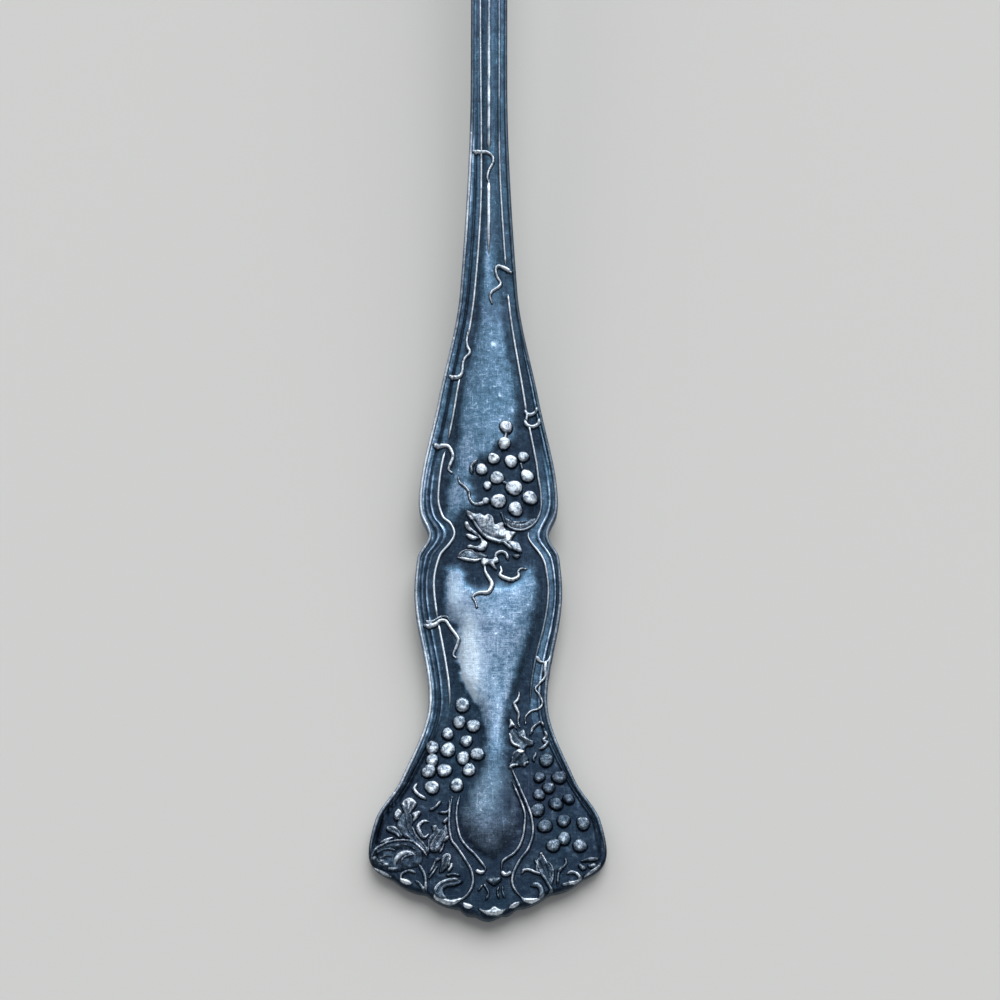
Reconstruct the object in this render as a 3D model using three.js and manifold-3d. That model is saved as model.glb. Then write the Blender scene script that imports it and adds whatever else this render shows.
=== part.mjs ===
import * as THREE from "three";
import { mergeVertices } from "three/addons/utils/BufferGeometryUtils.js";
import Module from "manifold-3d";

const wasm = await Module();
wasm.setup();

// Sizes in millimetres. A place "at" is a distance along the server from the tip of the handle.

// Bowl
const BOWL_LENGTH = 52;
const BOWL_WIDTH = 31;
const BOWL_DEPTH = 9.6;
const BOWL_WALL = 1.1;
const BOWL_POINTING = 0.1;
const REST_CUT = 0.13;

// Piercing of the bowl
const SLOT_COUNT = 8;
const SLOT_LENGTH = 6.6;
const SLOT_WIDTH = 2.4;
const SLOT_RING = 0.5;
const HOLE_RADIUS = 0.9;
const HOLE_RING = 0.79;

// Shank, seen from above: the run from the last station to each station, and the width there
const SHANK_LENGTH = 158;
const FLARE_RUN = 6.7;
const FLARE_WIDTH = 23.3;
const HEM_RUN = 3;
const HEM_WIDTH = 22.2;
const SKIRT_RUN = 4.1;
const SKIRT_WIDTH = 17.3;
const WAIST_RUN = 8.2;
const WAIST_WIDTH = 11.9;
const HIP_RUN = 11.4;
const HIP_WIDTH = 15.1;
const NOTCH_RUN = 5.9;
const NOTCH_WIDTH = 12.4;
const NOTCH_SPAN = 2.4;
const NOTCH_EASE = 0.25;
const SHOULDER_RUN = 3.5;
const SHOULDER_WIDTH = 14.4;
const TAPER_RUN = 11.1;
const TAPER_WIDTH = 10.6;
const ROOT_RUN = 12.1;
const ROOT_WIDTH = 6.1;
const STEM_RUN = 24;
const STEM_WIDTH = 4;
const NECK_LENGTH = 8;
const NECK_WIDTH = 4.6;
const HEEL_WIDTH = 6.8;
const TONGUE_LENGTH = 13;
const TONGUE_WIDTH = 2.4;
const TONGUE_THICKNESS = 3;

// Scalloped end of the handle: lobes between these distances from the centre line
const TIP_SLOPE = 0.43;
const TIP_LOBE = 1.3;
const BEAD_LOBE = 2.7;
const VOLUTE_LOBE = 6;
const CORNER_LOBE = 9.2;
const LOBE_DEPTH = 0.7;

// Shank, seen from the side
const FLARE_THICKNESS = 1.9;
const STEM_THICKNESS = 3;
const ARCH_RISE = 9.8;
const ARCH_FROM = 8;
const ARCH_RUN = 127;
const NECK_DROP = 3;
const NECK_DROP_RUN = 32;
const FACE_CROWN = 0.4;
const BACK_ROUND = 0.25;

// Ornament seated on the face of the shank; one unit of its layout is VINE_UNIT long
const VINE_UNIT = 1;
const SOLDER_FILM = 0.08;
const LAP_FILM = 0.1;
const CLEARANCE = 0.12;
const RIM_WIDTH = 0.6;
const RIM_HEIGHT = 0.5;
const RIM_MARGIN = 0.1;
const THREAD_WIDTH = 0.44;
const THREAD_HEIGHT = 0.45;
const THREAD_INSET = 1.85;
const STEM_THREAD_INSET = 1;
const RIB_WIDTH = 0.5;
const RIB_HEIGHT = 0.6;
const RIB_START = 4;
const TENDRIL_WIDTH = 0.5;
const TENDRIL_HEIGHT = 0.95;
const FRAME_LINE_WIDTH = 0.5;
const FRAME_LINE_HEIGHT = 0.55;
const VOLUTE_LINE_WIDTH = 0.6;
const VOLUTE_LINE_HEIGHT = 0.8;
const GRAPE_HEIGHT = 0.95;
const BUNCH_BACK = 0.3;
const LEAF_THICKNESS = 0.5;
const LEAF_RIB_WIDTH = 0.5;
const LEAF_RIB_HEIGHT = 0.85;
const PETAL_HEIGHT = 0.85;
const SHELL_HEIGHT = 0.85;
const SHELL_WIDTH = 1.7;
const TIP_BEAD_WIDTH = 0.68;

// Fineness of the surfaces
const STROKE_SPACING = 0.6;
const BORDER_SPACING = 1.2;
const STEM_SPACING = 4;
const SLOPE_STEP = 0.01;
const SHANK_COLUMNS = 4;
const BOWL_AROUND = 28;
const BOWL_DOWN = 14;
const GRAPE_SIDES = 8;

// Worked out from the sizes above
const LENGTH = SHANK_LENGTH + BOWL_LENGTH;
const FLARE_AT = FLARE_RUN;
const HEM_AT = FLARE_AT + HEM_RUN;
const SKIRT_AT = HEM_AT + SKIRT_RUN;
const WAIST_AT = SKIRT_AT + WAIST_RUN;
const HIP_AT = WAIST_AT + HIP_RUN;
const NOTCH_AT = HIP_AT + NOTCH_RUN;
const SHOULDER_AT = NOTCH_AT + SHOULDER_RUN;
const TAPER_AT = SHOULDER_AT + TAPER_RUN;
const ROOT_AT = TAPER_AT + ROOT_RUN;
const STEM_AT = ROOT_AT + STEM_RUN;
const BOWL_AT = SHANK_LENGTH + BOWL_LENGTH / 2;
const RIM_Z = BOWL_DEPTH - REST_CUT;
const NECK_AT = SHANK_LENGTH - NECK_LENGTH;
const TONGUE_AT = SHANK_LENGTH + TONGUE_LENGTH;
const BEYOND = LENGTH;

const STATIONS = [
  [FLARE_AT, FLARE_WIDTH / 2],
  [HEM_AT, HEM_WIDTH / 2],
  [SKIRT_AT, SKIRT_WIDTH / 2],
  [WAIST_AT, WAIST_WIDTH / 2],
  [HIP_AT, HIP_WIDTH / 2],
  [NOTCH_AT - NOTCH_SPAN, HIP_WIDTH / 2 - NOTCH_EASE],
  [NOTCH_AT, NOTCH_WIDTH / 2],
  [NOTCH_AT + NOTCH_SPAN, SHOULDER_WIDTH / 2 - NOTCH_EASE / 2],
  [SHOULDER_AT, SHOULDER_WIDTH / 2],
  [TAPER_AT, TAPER_WIDTH / 2],
  [ROOT_AT, ROOT_WIDTH / 2],
  [STEM_AT, STEM_WIDTH / 2],
  [NECK_AT, NECK_WIDTH / 2],
  [SHANK_LENGTH, HEEL_WIDTH / 2],
  [TONGUE_AT, TONGUE_WIDTH / 2],
];

// Slope of the outline at a station: level at every widest and narrowest point
function stationSlope(index) {
  if (index === 0 || index === STATIONS.length - 1) {
    return 0;
  }
  const [before, here, after] = [STATIONS[index - 1], STATIONS[index], STATIONS[index + 1]];
  const rising = (here[1] - before[1]) / (here[0] - before[0]);
  const falling = (after[1] - here[1]) / (after[0] - here[0]);
  return rising * falling <= 0 ? 0 : (2 * rising * falling) / (rising + falling);
}

// Half the width of the shank at a distance from the tip
function halfWidth(at) {
  const clamped = THREE.MathUtils.clamp(at, FLARE_AT, TONGUE_AT);
  const next = Math.max(1, STATIONS.findIndex(([station]) => station >= clamped));
  const [from, low] = STATIONS[next - 1];
  const [to, high] = STATIONS[next];
  const span = to - from;
  const t = (clamped - from) / span;
  const s = 1 - t;
  const bend = t * s * span * (s * stationSlope(next - 1) - t * stationSlope(next));
  return low * s * s * (1 + 2 * t) + high * t * t * (3 - 2 * t) + bend;
}

const smooth = THREE.MathUtils.smoothstep;

function archHeight(at) {
  const rise = ARCH_RISE * smooth(at, ARCH_FROM, ARCH_FROM + ARCH_RUN);
  return rise - NECK_DROP * smooth(at, SHANK_LENGTH - NECK_DROP_RUN, SHANK_LENGTH) - REST_CUT;
}

function thickness(at) {
  return FLARE_THICKNESS + (STEM_THICKNESS - FLARE_THICKNESS) * smooth(at, SHOULDER_AT, STEM_AT);
}

// Height of the shank's face, slightly crowned from side to side
function faceHeight(x, at) {
  const half = halfWidth(at);
  const share = Math.min(1, Math.abs(x) / half);
  const crown = FACE_CROWN * (half / (FLARE_WIDTH / 2)) * (1 - share * share);
  return archHeight(at) + thickness(at) + crown;
}

// Height of the shank's back: rounded from side to side, and wrapped under the heel of the bowl
function backHeight(share, at) {
  const round = BACK_ROUND * thickness(at) * share * share;
  const reach = (BOWL_AT - at) / (BOWL_LENGTH / 2 + TONGUE_THICKNESS);
  const under = reach < 1 ? RIM_Z - BOWL_DEPTH * Math.sqrt(1 - reach * reach) : RIM_Z;
  return Math.min(archHeight(at), under) + round;
}

// A closed solid from a three.js geometry
function solid(geometry) {
  const bare = geometry.index ? geometry.toNonIndexed() : geometry.clone();
  bare.deleteAttribute("normal");
  bare.deleteAttribute("uv");
  const merged = mergeVertices(bare, 1e-4);
  const corners = merged.index.array;
  const kept = [];
  for (let i = 0; i < corners.length; i += 3) {
    const [a, b, c] = [corners[i], corners[i + 1], corners[i + 2]];
    if (a !== b && b !== c && c !== a) {
      kept.push(a, b, c);
    }
  }
  const mesh = new wasm.Mesh({
    numProp: 3,
    vertProperties: new Float32Array(merged.attributes.position.array),
    triVerts: new Uint32Array(kept),
  });
  mesh.merge();
  return new wasm.Manifold(mesh);
}

function join(solids) {
  return solids.reduce((whole, piece) => whole.add(piece));
}

// Back to a geometry, with every corner moved by a function of its place
function geometryOf(body, move) {
  const mesh = body.getMesh();
  const places = [];
  for (let i = 0; i < mesh.vertProperties.length; i += mesh.numProp) {
    places.push(...move(...mesh.vertProperties.slice(i, i + 3)));
  }
  const geometry = new THREE.BufferGeometry();
  geometry.setAttribute("position", new THREE.Float32BufferAttribute(places, 3));
  geometry.setIndex([...mesh.triVerts]);
  geometry.computeVertexNormals();
  return geometry;
}

// Ornament is drawn flat (across, along, up) and then laid on the face of the shank
const onFace = (x, at, up) => [x, at - LENGTH / 2, faceHeight(x, at) + SOLDER_FILM + up];

// Points given as a share of the local half width and a number of layout units from a station
function layout(station, points) {
  return points.map(([share, units]) => {
    const at = station + units * VINE_UNIT;
    return [share * halfWidth(at), at];
  });
}

// A smooth line through a few points, in short even steps
function smoothLine(points) {
  const curve = new THREE.CatmullRomCurve3(points.map(([x, at]) => new THREE.Vector3(x, at, 0)));
  const steps = Math.max(6, Math.ceil(curve.getLength() / STROKE_SPACING));
  return curve.getSpacedPoints(steps).map((point) => [point.x, point.y]);
}

const ends = (t) => 0.45 + 0.55 * Math.min(1, 6 * Math.min(t, 1 - t));
const petal = (t) => 0.16 + 0.84 * Math.sin(Math.PI * Math.min(1, 0.12 + 0.83 * t)) ** 0.8;

// Half-round section of a raised stroke, from its left foot over its crest to its right foot
const SECTION = [0, 1, 2, 3].map((side) => [
  Math.cos((Math.PI * side) / 3),
  Math.sin((Math.PI * side) / 3) / Math.sin(Math.PI / 3),
]);

// Square section that reaches below the face, for the room round a stroke
const BLOCK = [
  [1, -1],
  [1, 1],
  [-1, 1],
  [-1, -1],
];

// A raised stroke along a line, flat below and half-round above
function stroke(line, width, height, swell = ends, section = SECTION) {
  const places = [];
  const last = line.length - 1;
  line.forEach(([x, at], i) => {
    const [x0, at0] = line[Math.max(0, i - 1)];
    const [x1, at1] = line[Math.min(last, i + 1)];
    const run = Math.hypot(x1 - x0, at1 - at0);
    const scale = swell(i / last);
    section.forEach(([across, up]) => {
      const reach = (across * width * scale) / 2;
      const lift = (up * height * (1 + scale)) / 2;
      places.push(x - ((at1 - at0) / run) * reach, at + ((x1 - x0) / run) * reach, lift);
    });
  });
  const count = section.length;
  const faces = [];
  for (let i = 0; i < last; i += 1) {
    for (let k = 0; k < count; k += 1) {
      const a = i * count + k;
      const d = i * count + ((k + 1) % count);
      faces.push(a, d, d + count, a, d + count, a + count);
    }
  }
  for (let k = 1; k < count - 1; k += 1) {
    faces.push(0, k + 1, k);
    faces.push(last * count, last * count + k, last * count + k + 1);
  }
  const geometry = new THREE.BufferGeometry();
  geometry.setAttribute("position", new THREE.Float32BufferAttribute(places, 3));
  geometry.setIndex(faces);
  return solid(geometry);
}

// The room that a stroke needs, so that what crosses it can be cut to pass over it
function room(line, width, height) {
  return stroke(line, width + 2 * CLEARANCE, height + CLEARANCE, () => 1, BLOCK);
}

// Steps along the shank, shorter where its outline bends
function stepsAlong(from, to) {
  const list = [from];
  while (list.at(-1) < to) {
    const at = list.at(-1);
    const fine = at < ROOT_AT || at > NECK_AT - STEM_SPACING;
    const next = at + (fine ? BORDER_SPACING : STEM_SPACING);
    list.push(next + BORDER_SPACING / 2 > to ? to : next);
  }
  return list;
}

// A line that keeps a distance inside the edge of the shank; side is 1 for right and -1 for left
function borderLine(side, from, to, insetAt) {
  return stepsAlong(from, to).map((at) => {
    const slope = (halfWidth(at + SLOPE_STEP) - halfWidth(at - SLOPE_STEP)) / (2 * SLOPE_STEP);
    return [side * (halfWidth(at) - insetAt(at) * Math.hypot(1, slope)), at];
  });
}

// The threads close in on each other where the handle narrows to the stem
function threadInset(at) {
  const narrow = STEM_WIDTH / 2;
  const wide = TAPER_WIDTH / 2;
  const share = THREE.MathUtils.clamp((halfWidth(at) - narrow) / (wide - narrow), 0, 1);
  return STEM_THREAD_INSET + (THREAD_INSET - STEM_THREAD_INSET) * share;
}

// The field of the handle that is left inside a border of the given inset
function field(insetAt) {
  const right = borderLine(1, FLARE_AT, ROOT_AT, insetAt);
  const left = borderLine(-1, FLARE_AT, ROOT_AT, insetAt).reverse();
  const shape = new THREE.Shape([...right, ...left].map(([x, at]) => new THREE.Vector2(x, at)));
  const block = new THREE.ExtrudeGeometry(shape, { depth: BEYOND, bevelEnabled: false });
  return solid(block.translate(0, 0, -BEYOND / 2));
}

// A flat plate with the given outline
function plate(station, outline, depth) {
  const shape = new THREE.Shape(layout(station, outline).map(([x, at]) => new THREE.Vector2(x, at)));
  return solid(new THREE.ExtrudeGeometry(shape, { depth, bevelEnabled: false }));
}

// Grapes on a thin shared backing; each is a share, layout units from the station, and a radius in units
function bunch(station, outline, grapes) {
  const berries = grapes.map(([share, units, size]) => {
    const [[x, at]] = layout(station, [[share, units]]);
    const radius = size * VINE_UNIT;
    const profile = [
      new THREE.Vector2(0, 0),
      new THREE.Vector2(radius, 0),
      new THREE.Vector2(radius, BUNCH_BACK),
      new THREE.Vector2(radius * Math.SQRT1_2, BUNCH_BACK + (GRAPE_HEIGHT - BUNCH_BACK) * Math.SQRT1_2),
      new THREE.Vector2(0, GRAPE_HEIGHT),
    ];
    const berry = new THREE.LatheGeometry(profile, GRAPE_SIDES);
    berry.rotateX(Math.PI / 2);
    berry.translate(x, at, 0);
    return solid(berry);
  });
  return join([plate(station, outline, BUNCH_BACK), ...berries]);
}

// A lobed leaf: a plate with the given outline, and a raised rib along each vein
function leaf(station, outline, veins) {
  const ribs = veins.map((vein) => {
    const line = smoothLine(layout(station, vein));
    return stroke(line, LEAF_RIB_WIDTH, LEAF_RIB_HEIGHT);
  });
  return join([plate(station, outline, LEAF_THICKNESS), ...ribs]);
}

function tendril(station, points) {
  return stroke(smoothLine(layout(station, points)), TENDRIL_WIDTH, TENDRIL_HEIGHT);
}

// A spray of petals, each a greatest width in layout units and a line
function spray(petals) {
  const parts = petals.map(([size, points]) => {
    return stroke(smoothLine(layout(0, points)), size * VINE_UNIT, PETAL_HEIGHT, petal);
  });
  return join(parts);
}

// Bowl
const slab = new THREE.BoxGeometry(BEYOND, BEYOND, BEYOND);
const aboveRim = solid(slab.clone().translate(0, BOWL_AT, RIM_Z + BEYOND / 2));
const belowTable = solid(slab.clone().translate(0, LENGTH / 2, -BEYOND / 2));

// An egg in plan, a half ellipse in depth; grow thickens it on all sides
function egg(grow) {
  const ball = new THREE.SphereGeometry(1, BOWL_AROUND, BOWL_DOWN);
  ball.rotateX(Math.PI / 2);
  const corner = ball.attributes.position;
  for (let i = 0; i < corner.count; i += 1) {
    const narrowing = 1 - BOWL_POINTING * corner.getY(i);
    corner.setXYZ(
      i,
      corner.getX(i) * (BOWL_WIDTH / 2 + grow) * narrowing,
      BOWL_AT + corner.getY(i) * (BOWL_LENGTH / 2 + grow),
      RIM_Z + corner.getZ(i) * (BOWL_DEPTH + grow),
    );
  }
  return solid(ball);
}

function slotCutter(turn) {
  const shape = new THREE.Shape();
  shape.moveTo(0, -SLOT_LENGTH / 2);
  shape.quadraticCurveTo(SLOT_WIDTH, 0, 0, SLOT_LENGTH / 2);
  shape.quadraticCurveTo(-SLOT_WIDTH, 0, 0, -SLOT_LENGTH / 2);
  const cutter = new THREE.ExtrudeGeometry(shape, { depth: BEYOND, bevelEnabled: false, curveSegments: 6 });
  const x = (Math.sin(turn) * SLOT_RING * BOWL_WIDTH) / 2;
  const y = (Math.cos(turn) * SLOT_RING * BOWL_LENGTH) / 2;
  cutter.rotateZ(Math.atan2(-x, y));
  cutter.translate(x, BOWL_AT + y, -BEYOND / 2);
  return solid(cutter);
}

function holeCutter(turn) {
  const cutter = new THREE.CylinderGeometry(HOLE_RADIUS, HOLE_RADIUS, BEYOND, 12);
  cutter.rotateX(Math.PI / 2);
  const x = (Math.sin(turn) * HOLE_RING * BOWL_WIDTH) / 2;
  const y = (Math.cos(turn) * HOLE_RING * BOWL_LENGTH) / 2;
  cutter.translate(x, BOWL_AT + y, 0);
  return solid(cutter);
}

const bowlBlank = egg(0);
const piercings = [];
for (let i = 0; i < SLOT_COUNT; i += 1) {
  const turn = (2 * Math.PI * i) / SLOT_COUNT;
  piercings.push(slotCutter(turn + Math.PI / SLOT_COUNT));
  const nearHeel = Math.cos(turn) < -0.9;
  if (!nearHeel) {
    piercings.push(holeCutter(turn));
  }
}
const bowl = bowlBlank
  .subtract(egg(-BOWL_WALL))
  .subtract(aboveRim)
  .subtract(belowTable)
  .subtract(join(piercings));

// Shank: a long sheet bent to the arch, trimmed to the scalloped tip and fitted round the bowl
const rows = stepsAlong(-TIP_LOBE, TONGUE_AT);
const sheet = new THREE.BoxGeometry(2, rows.length - 1, 2, SHANK_COLUMNS, rows.length - 1, 1);
sheet.translate(0, (rows.length - 1) / 2, 0);
const sheetCorner = sheet.attributes.position;
for (let i = 0; i < sheetCorner.count; i += 1) {
  const share = sheetCorner.getX(i);
  const at = rows[Math.round(sheetCorner.getY(i))];
  const x = share * (halfWidth(at) + Math.max(0, FLARE_AT - at) * TIP_SLOPE);
  const z = sheetCorner.getZ(i) > 0 ? faceHeight(x, at) : backHeight(share, at);
  sheetCorner.setXYZ(i, x, at, z);
}

function tipOutline() {
  const shape = new THREE.Shape();
  const half = FLARE_WIDTH / 2;
  const corners = [CORNER_LOBE, VOLUTE_LOBE, BEAD_LOBE, TIP_LOBE];
  const all = [...corners, ...corners.map((x) => -x).reverse()];
  const edge = (x) => TIP_SLOPE * Math.abs(x);
  shape.moveTo(half + BEYOND, BEYOND);
  shape.lineTo(half + BEYOND, FLARE_AT);
  shape.lineTo(half, FLARE_AT);
  const turn = (half + CORNER_LOBE) / 2;
  shape.bezierCurveTo(half, edge(half), turn, edge(turn), CORNER_LOBE, edge(CORNER_LOBE));
  for (let i = 1; i < all.length; i += 1) {
    const middle = (all[i - 1] + all[i]) / 2;
    const straight = (edge(all[i - 1]) + edge(all[i])) / 2;
    const dip = middle === 0 ? 2 * straight : LOBE_DEPTH;
    shape.quadraticCurveTo(middle, straight - dip, all[i], edge(all[i]));
  }
  shape.bezierCurveTo(-turn, edge(turn), -half, edge(half), -half, FLARE_AT);
  shape.lineTo(-half - BEYOND, FLARE_AT);
  shape.lineTo(-half - BEYOND, BEYOND);
  return shape;
}

const tipTrim = new THREE.ExtrudeGeometry(tipOutline(), {
  depth: BEYOND,
  bevelEnabled: false,
  curveSegments: 8,
});
tipTrim.translate(0, 0, -BEYOND / 2);
const shank = solid(sheet).intersect(solid(tipTrim)).subtract(egg(LAP_FILM)).subtract(belowTable);

// Border
const rimInset = () => RIM_MARGIN + RIM_WIDTH / 2;
const rimEnd = NECK_AT;
const rimLine = (side) => borderLine(side, FLARE_AT, rimEnd, rimInset);
const threadEnd = WAIST_AT - THREAD_WIDTH;
const threadLeftLine = borderLine(-1, threadEnd, rimEnd, threadInset);
const threadLowerLine = borderLine(1, threadEnd, NOTCH_AT + THREAD_WIDTH, threadInset);
const hook = layout(SHOULDER_AT, [
  [0.31, -2.2],
  [0.4, -2.55],
  [0.54, -2.6],
  [0.66, -1.9],
  [0.72, -0.8],
  [0.745, 0.4],
]);
const threadUpperLine = [
  ...smoothLine(hook),
  ...borderLine(1, SHOULDER_AT + BORDER_SPACING, rimEnd, threadInset),
];
const ribLine = stepsAlong(ROOT_AT + RIB_START, rimEnd).map((at) => [0, at]);
const threadStroke = (line) => stroke(line, THREAD_WIDTH, THREAD_HEIGHT);
const threadRoom = (line) => room(line, THREAD_WIDTH, THREAD_HEIGHT);
const rimRooms = [1, -1].map((side) => room(rimLine(side), RIM_WIDTH, RIM_HEIGHT));
const threadRooms = [threadLeftLine, threadUpperLine, threadLowerLine].map(threadRoom);
const borderRoom = join([...rimRooms, ...threadRooms, room(ribLine, RIB_WIDTH, RIB_HEIGHT)]);

// Tendrils, cut to pass over the threads they wrap
const tendrilStemLeft = tendril(ROOT_AT, [
  [-0.7, 15.8],
  [-0.4, 16],
  [0.05, 15.7],
  [0.28, 14.9],
  [0.27, 13.7],
  [0.24, 12.4],
]);
const tendrilStemRight = tendril(ROOT_AT, [
  [0.72, 2.2],
  [0.56, 2.4],
  [0.34, 2.5],
  [0.22, 1.9],
  [0.3, 1.1],
  [0.37, 0.5],
  [0.24, 0],
  [0.08, -0.5],
  [0.04, -1.2],
]);
const tendrilTaperLeft = tendril(TAPER_AT, [
  [-0.42, 6.2],
  [-0.48, 5.4],
  [-0.6, 4.6],
  [-0.62, 3.6],
  [-0.7, 2.8],
  [-0.8, 2.8],
]);
const tendrilShoulderLeft = tendril(SHOULDER_AT, [
  [-0.82, 6.5],
  [-0.72, 6.4],
  [-0.6, 6],
  [-0.53, 5.1],
  [-0.55, 4.3],
  [-0.56, 3.7],
  [-0.5, 3.2],
]);
const claspRight = tendril(TAPER_AT, [
  [0.52, -1.1],
  [0.68, -1.4],
  [0.81, -1.4],
  [0.83, -2],
  [0.79, -2.6],
  [0.66, -2.7],
  [0.52, -2.5],
]);
const tendrilHipLeft = tendril(HIP_AT, [
  [-0.84, -3.6],
  [-0.74, -3.2],
  [-0.62, -3],
  [-0.55, -3.7],
  [-0.48, -4.4],
  [-0.45, -5.1],
  [-0.5, -5.9],
  [-0.53, -6.5],
  [-0.48, -7],
]);
const tendrilWaistRight = tendril(WAIST_AT, [
  [0.56, 4.6],
  [0.68, 4.2],
  [0.78, 3.3],
  [0.78, 2.3],
  [0.7, 1.5],
  [0.6, 0.7],
  [0.58, -0.3],
]);

// Grape bunches
const bunchUpper = bunch(
  SHOULDER_AT,
  [
    [0.31, 9.3],
    [0.14, 8.8],
    [0.08, 7],
    [-0.06, 5.4],
    [-0.27, 3.6],
    [-0.2, 1.4],
    [-0.05, -0.6],
    [0.2, -1.4],
    [0.5, -1.2],
    [0.7, 0.2],
    [0.7, 3],
    [0.68, 5.4],
    [0.46, 6.4],
    [0.48, 8.6],
  ],
  [
    [0.31, 8.2, 0.65],
    [0.25, 6.4, 0.65],
    [0.09, 4.7, 0.6],
    [0.35, 4.4, 0.6],
    [0.52, 5, 0.6],
    [-0.1, 3.6, 0.6],
    [0.54, 3, 0.6],
    [0.14, 2.6, 0.7],
    [0.37, 1.7, 0.8],
    [-0.04, 1.6, 0.5],
    [0.55, 0.5, 0.65],
    [0.12, 0.1, 0.75],
    [0.36, -0.4, 0.7],
  ],
);
const bunchLeft = bunch(
  SKIRT_AT,
  [
    [-0.42, 8.5],
    [-0.6, 7.8],
    [-0.62, 6.4],
    [-0.74, 5.4],
    [-0.9, 3.8],
    [-0.9, 2.6],
    [-0.88, 0.6],
    [-0.78, -0.8],
    [-0.62, -1.9],
    [-0.36, -1.5],
    [-0.22, -0.6],
    [-0.08, 1],
    [0, 2.8],
    [-0.12, 4],
    [-0.08, 6.2],
    [-0.25, 7.8],
  ],
  [
    [-0.42, 7.4, 0.65],
    [-0.46, 5.9, 0.65],
    [-0.25, 5.6, 0.65],
    [-0.6, 4.7, 0.6],
    [-0.34, 4, 0.6],
    [-0.76, 3.4, 0.6],
    [-0.56, 3.1, 0.7],
    [-0.35, 2.3, 0.65],
    [-0.17, 2.6, 0.65],
    [-0.74, 1.9, 0.6],
    [-0.54, 1.1, 0.65],
    [-0.74, 0.6, 0.65],
    [-0.25, 1.1, 0.6],
    [-0.62, -0.8, 0.65],
    [-0.37, -0.4, 0.65],
  ],
);
const bunchRight = bunch(
  0,
  [
    [0.75, 16.8],
    [0.66, 16.6],
    [0.6, 15.3],
    [0.5, 14.6],
    [0.42, 12.8],
    [0.39, 11],
    [0.4, 9.2],
    [0.44, 7.4],
    [0.54, 6.4],
    [0.8, 6.4],
    [0.9, 7.6],
    [0.92, 10],
    [0.92, 12.4],
    [0.93, 14.2],
    [0.9, 16.2],
  ],
  [
    [0.75, 15.7, 0.6],
    [0.8, 14.2, 0.6],
    [0.6, 14.2, 0.5],
    [0.64, 13, 0.5],
    [0.53, 12.4, 0.5],
    [0.65, 11.4, 0.65],
    [0.79, 11.8, 0.55],
    [0.49, 10.9, 0.6],
    [0.66, 9.7, 0.6],
    [0.51, 9.2, 0.65],
    [0.82, 9.4, 0.6],
    [0.55, 7.4, 0.6],
    [0.65, 7.9, 0.6],
    [0.77, 7.4, 0.65],
  ],
);

// Vine leaves with their tendrils
const leafUpper = join([
  leaf(
    NOTCH_AT,
    [
      [-0.3, 2.3],
      [-0.18, 1],
      [-0.31, 1.1],
      [-0.2, 0.1],
      [-0.38, 0],
      [-0.2, -0.7],
      [-0.36, -1.2],
      [-0.24, -1.6],
      [-0.42, -2.4],
      [-0.22, -2.6],
      [-0.06, -2.3],
      [-0.12, -3],
      [-0.02, -3.1],
      [0.12, -3.5],
      [0.16, -2.7],
      [0.24, -2],
      [0.34, -2.6],
      [0.45, -2.4],
      [0.46, -1.5],
      [0.35, -0.7],
      [0.4, 0],
      [0.26, 0.7],
      [0.17, 1.2],
      [0.1, 0.8],
      [0.04, 1.7],
      [-0.05, 2.3],
      [-0.16, 2],
    ],
    [
      [
        [-0.26, 1.9],
        [-0.1, 0],
        [0.1, -0.7],
        [0.3, -1],
        [0.4, -1.9],
      ],
      [
        [-0.34, -2.3],
        [-0.14, -1.6],
        [0.04, -0.8],
      ],
      [
        [0, 1.6],
        [0.06, 0.4],
        [0.1, -0.6],
      ],
    ],
  ),
  tendril(NOTCH_AT, [
    [-0.03, -2.8],
    [0.01, -4.4],
    [0.05, -5.3],
    [-0.01, -6.1],
    [-0.11, -6.3],
    [-0.18, -6.8],
    [-0.14, -7.6],
    [-0.2, -8.2],
  ]),
  tendril(NOTCH_AT, [
    [0.1, -2.8],
    [0.16, -4.2],
    [0.26, -4.8],
    [0.36, -4.5],
    [0.41, -3.8],
    [0.5, -3.5],
  ]),
]);
const leafRight = join([
  leaf(
    WAIST_AT,
    [
      [0.34, -2.6],
      [0.42, -3.3],
      [0.3, -3.5],
      [0.42, -4],
      [0.3, -4.6],
      [0.38, -5.1],
      [0.32, -6.2],
      [0.48, -5.4],
      [0.58, -5.5],
      [0.66, -4.7],
      [0.76, -4.6],
      [0.81, -3.5],
      [0.74, -2.6],
      [0.6, -3.1],
      [0.52, -2.4],
      [0.46, -3],
    ],
    [
      [
        [0.36, -5.9],
        [0.48, -4.4],
        [0.5, -2.8],
      ],
      [
        [0.5, -4.2],
        [0.64, -3.6],
        [0.74, -3.2],
      ],
    ],
  ),
  tendril(WAIST_AT, [
    [0.5, -3.6],
    [0.49, -1.7],
    [0.44, -0.6],
    [0.47, 0.4],
  ]),
]);

// Lines and scrolls round the plain field at the tip
const tipLine = (points) => smoothLine(layout(0, points));
const frameLeftLine = tipLine([
  [-0.28, 11.5],
  [-0.28, 10.2],
  [-0.265, 8.7],
  [-0.215, 7.4],
  [-0.135, 6.2],
  [-0.07, 5.3],
  [-0.1, 4.5],
]);
const frameRightLine = tipLine([
  [0.26, 13.4],
  [0.28, 12],
  [0.28, 10.2],
  [0.27, 8.7],
  [0.23, 7.4],
  [0.17, 6.4],
  [0.11, 5.6],
  [0.09, 5],
  [0.13, 4.5],
]);
const voluteLeftLine = tipLine([
  [-0.34, 9.6],
  [-0.345, 8.4],
  [-0.31, 7],
  [-0.24, 5.8],
  [-0.175, 4.7],
  [-0.155, 3.6],
  [-0.18, 2.6],
  [-0.24, 2],
  [-0.33, 1.9],
  [-0.41, 2.3],
  [-0.45, 3],
  [-0.42, 3.8],
  [-0.34, 4.2],
  [-0.27, 3.9],
  [-0.265, 3.3],
]);
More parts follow.
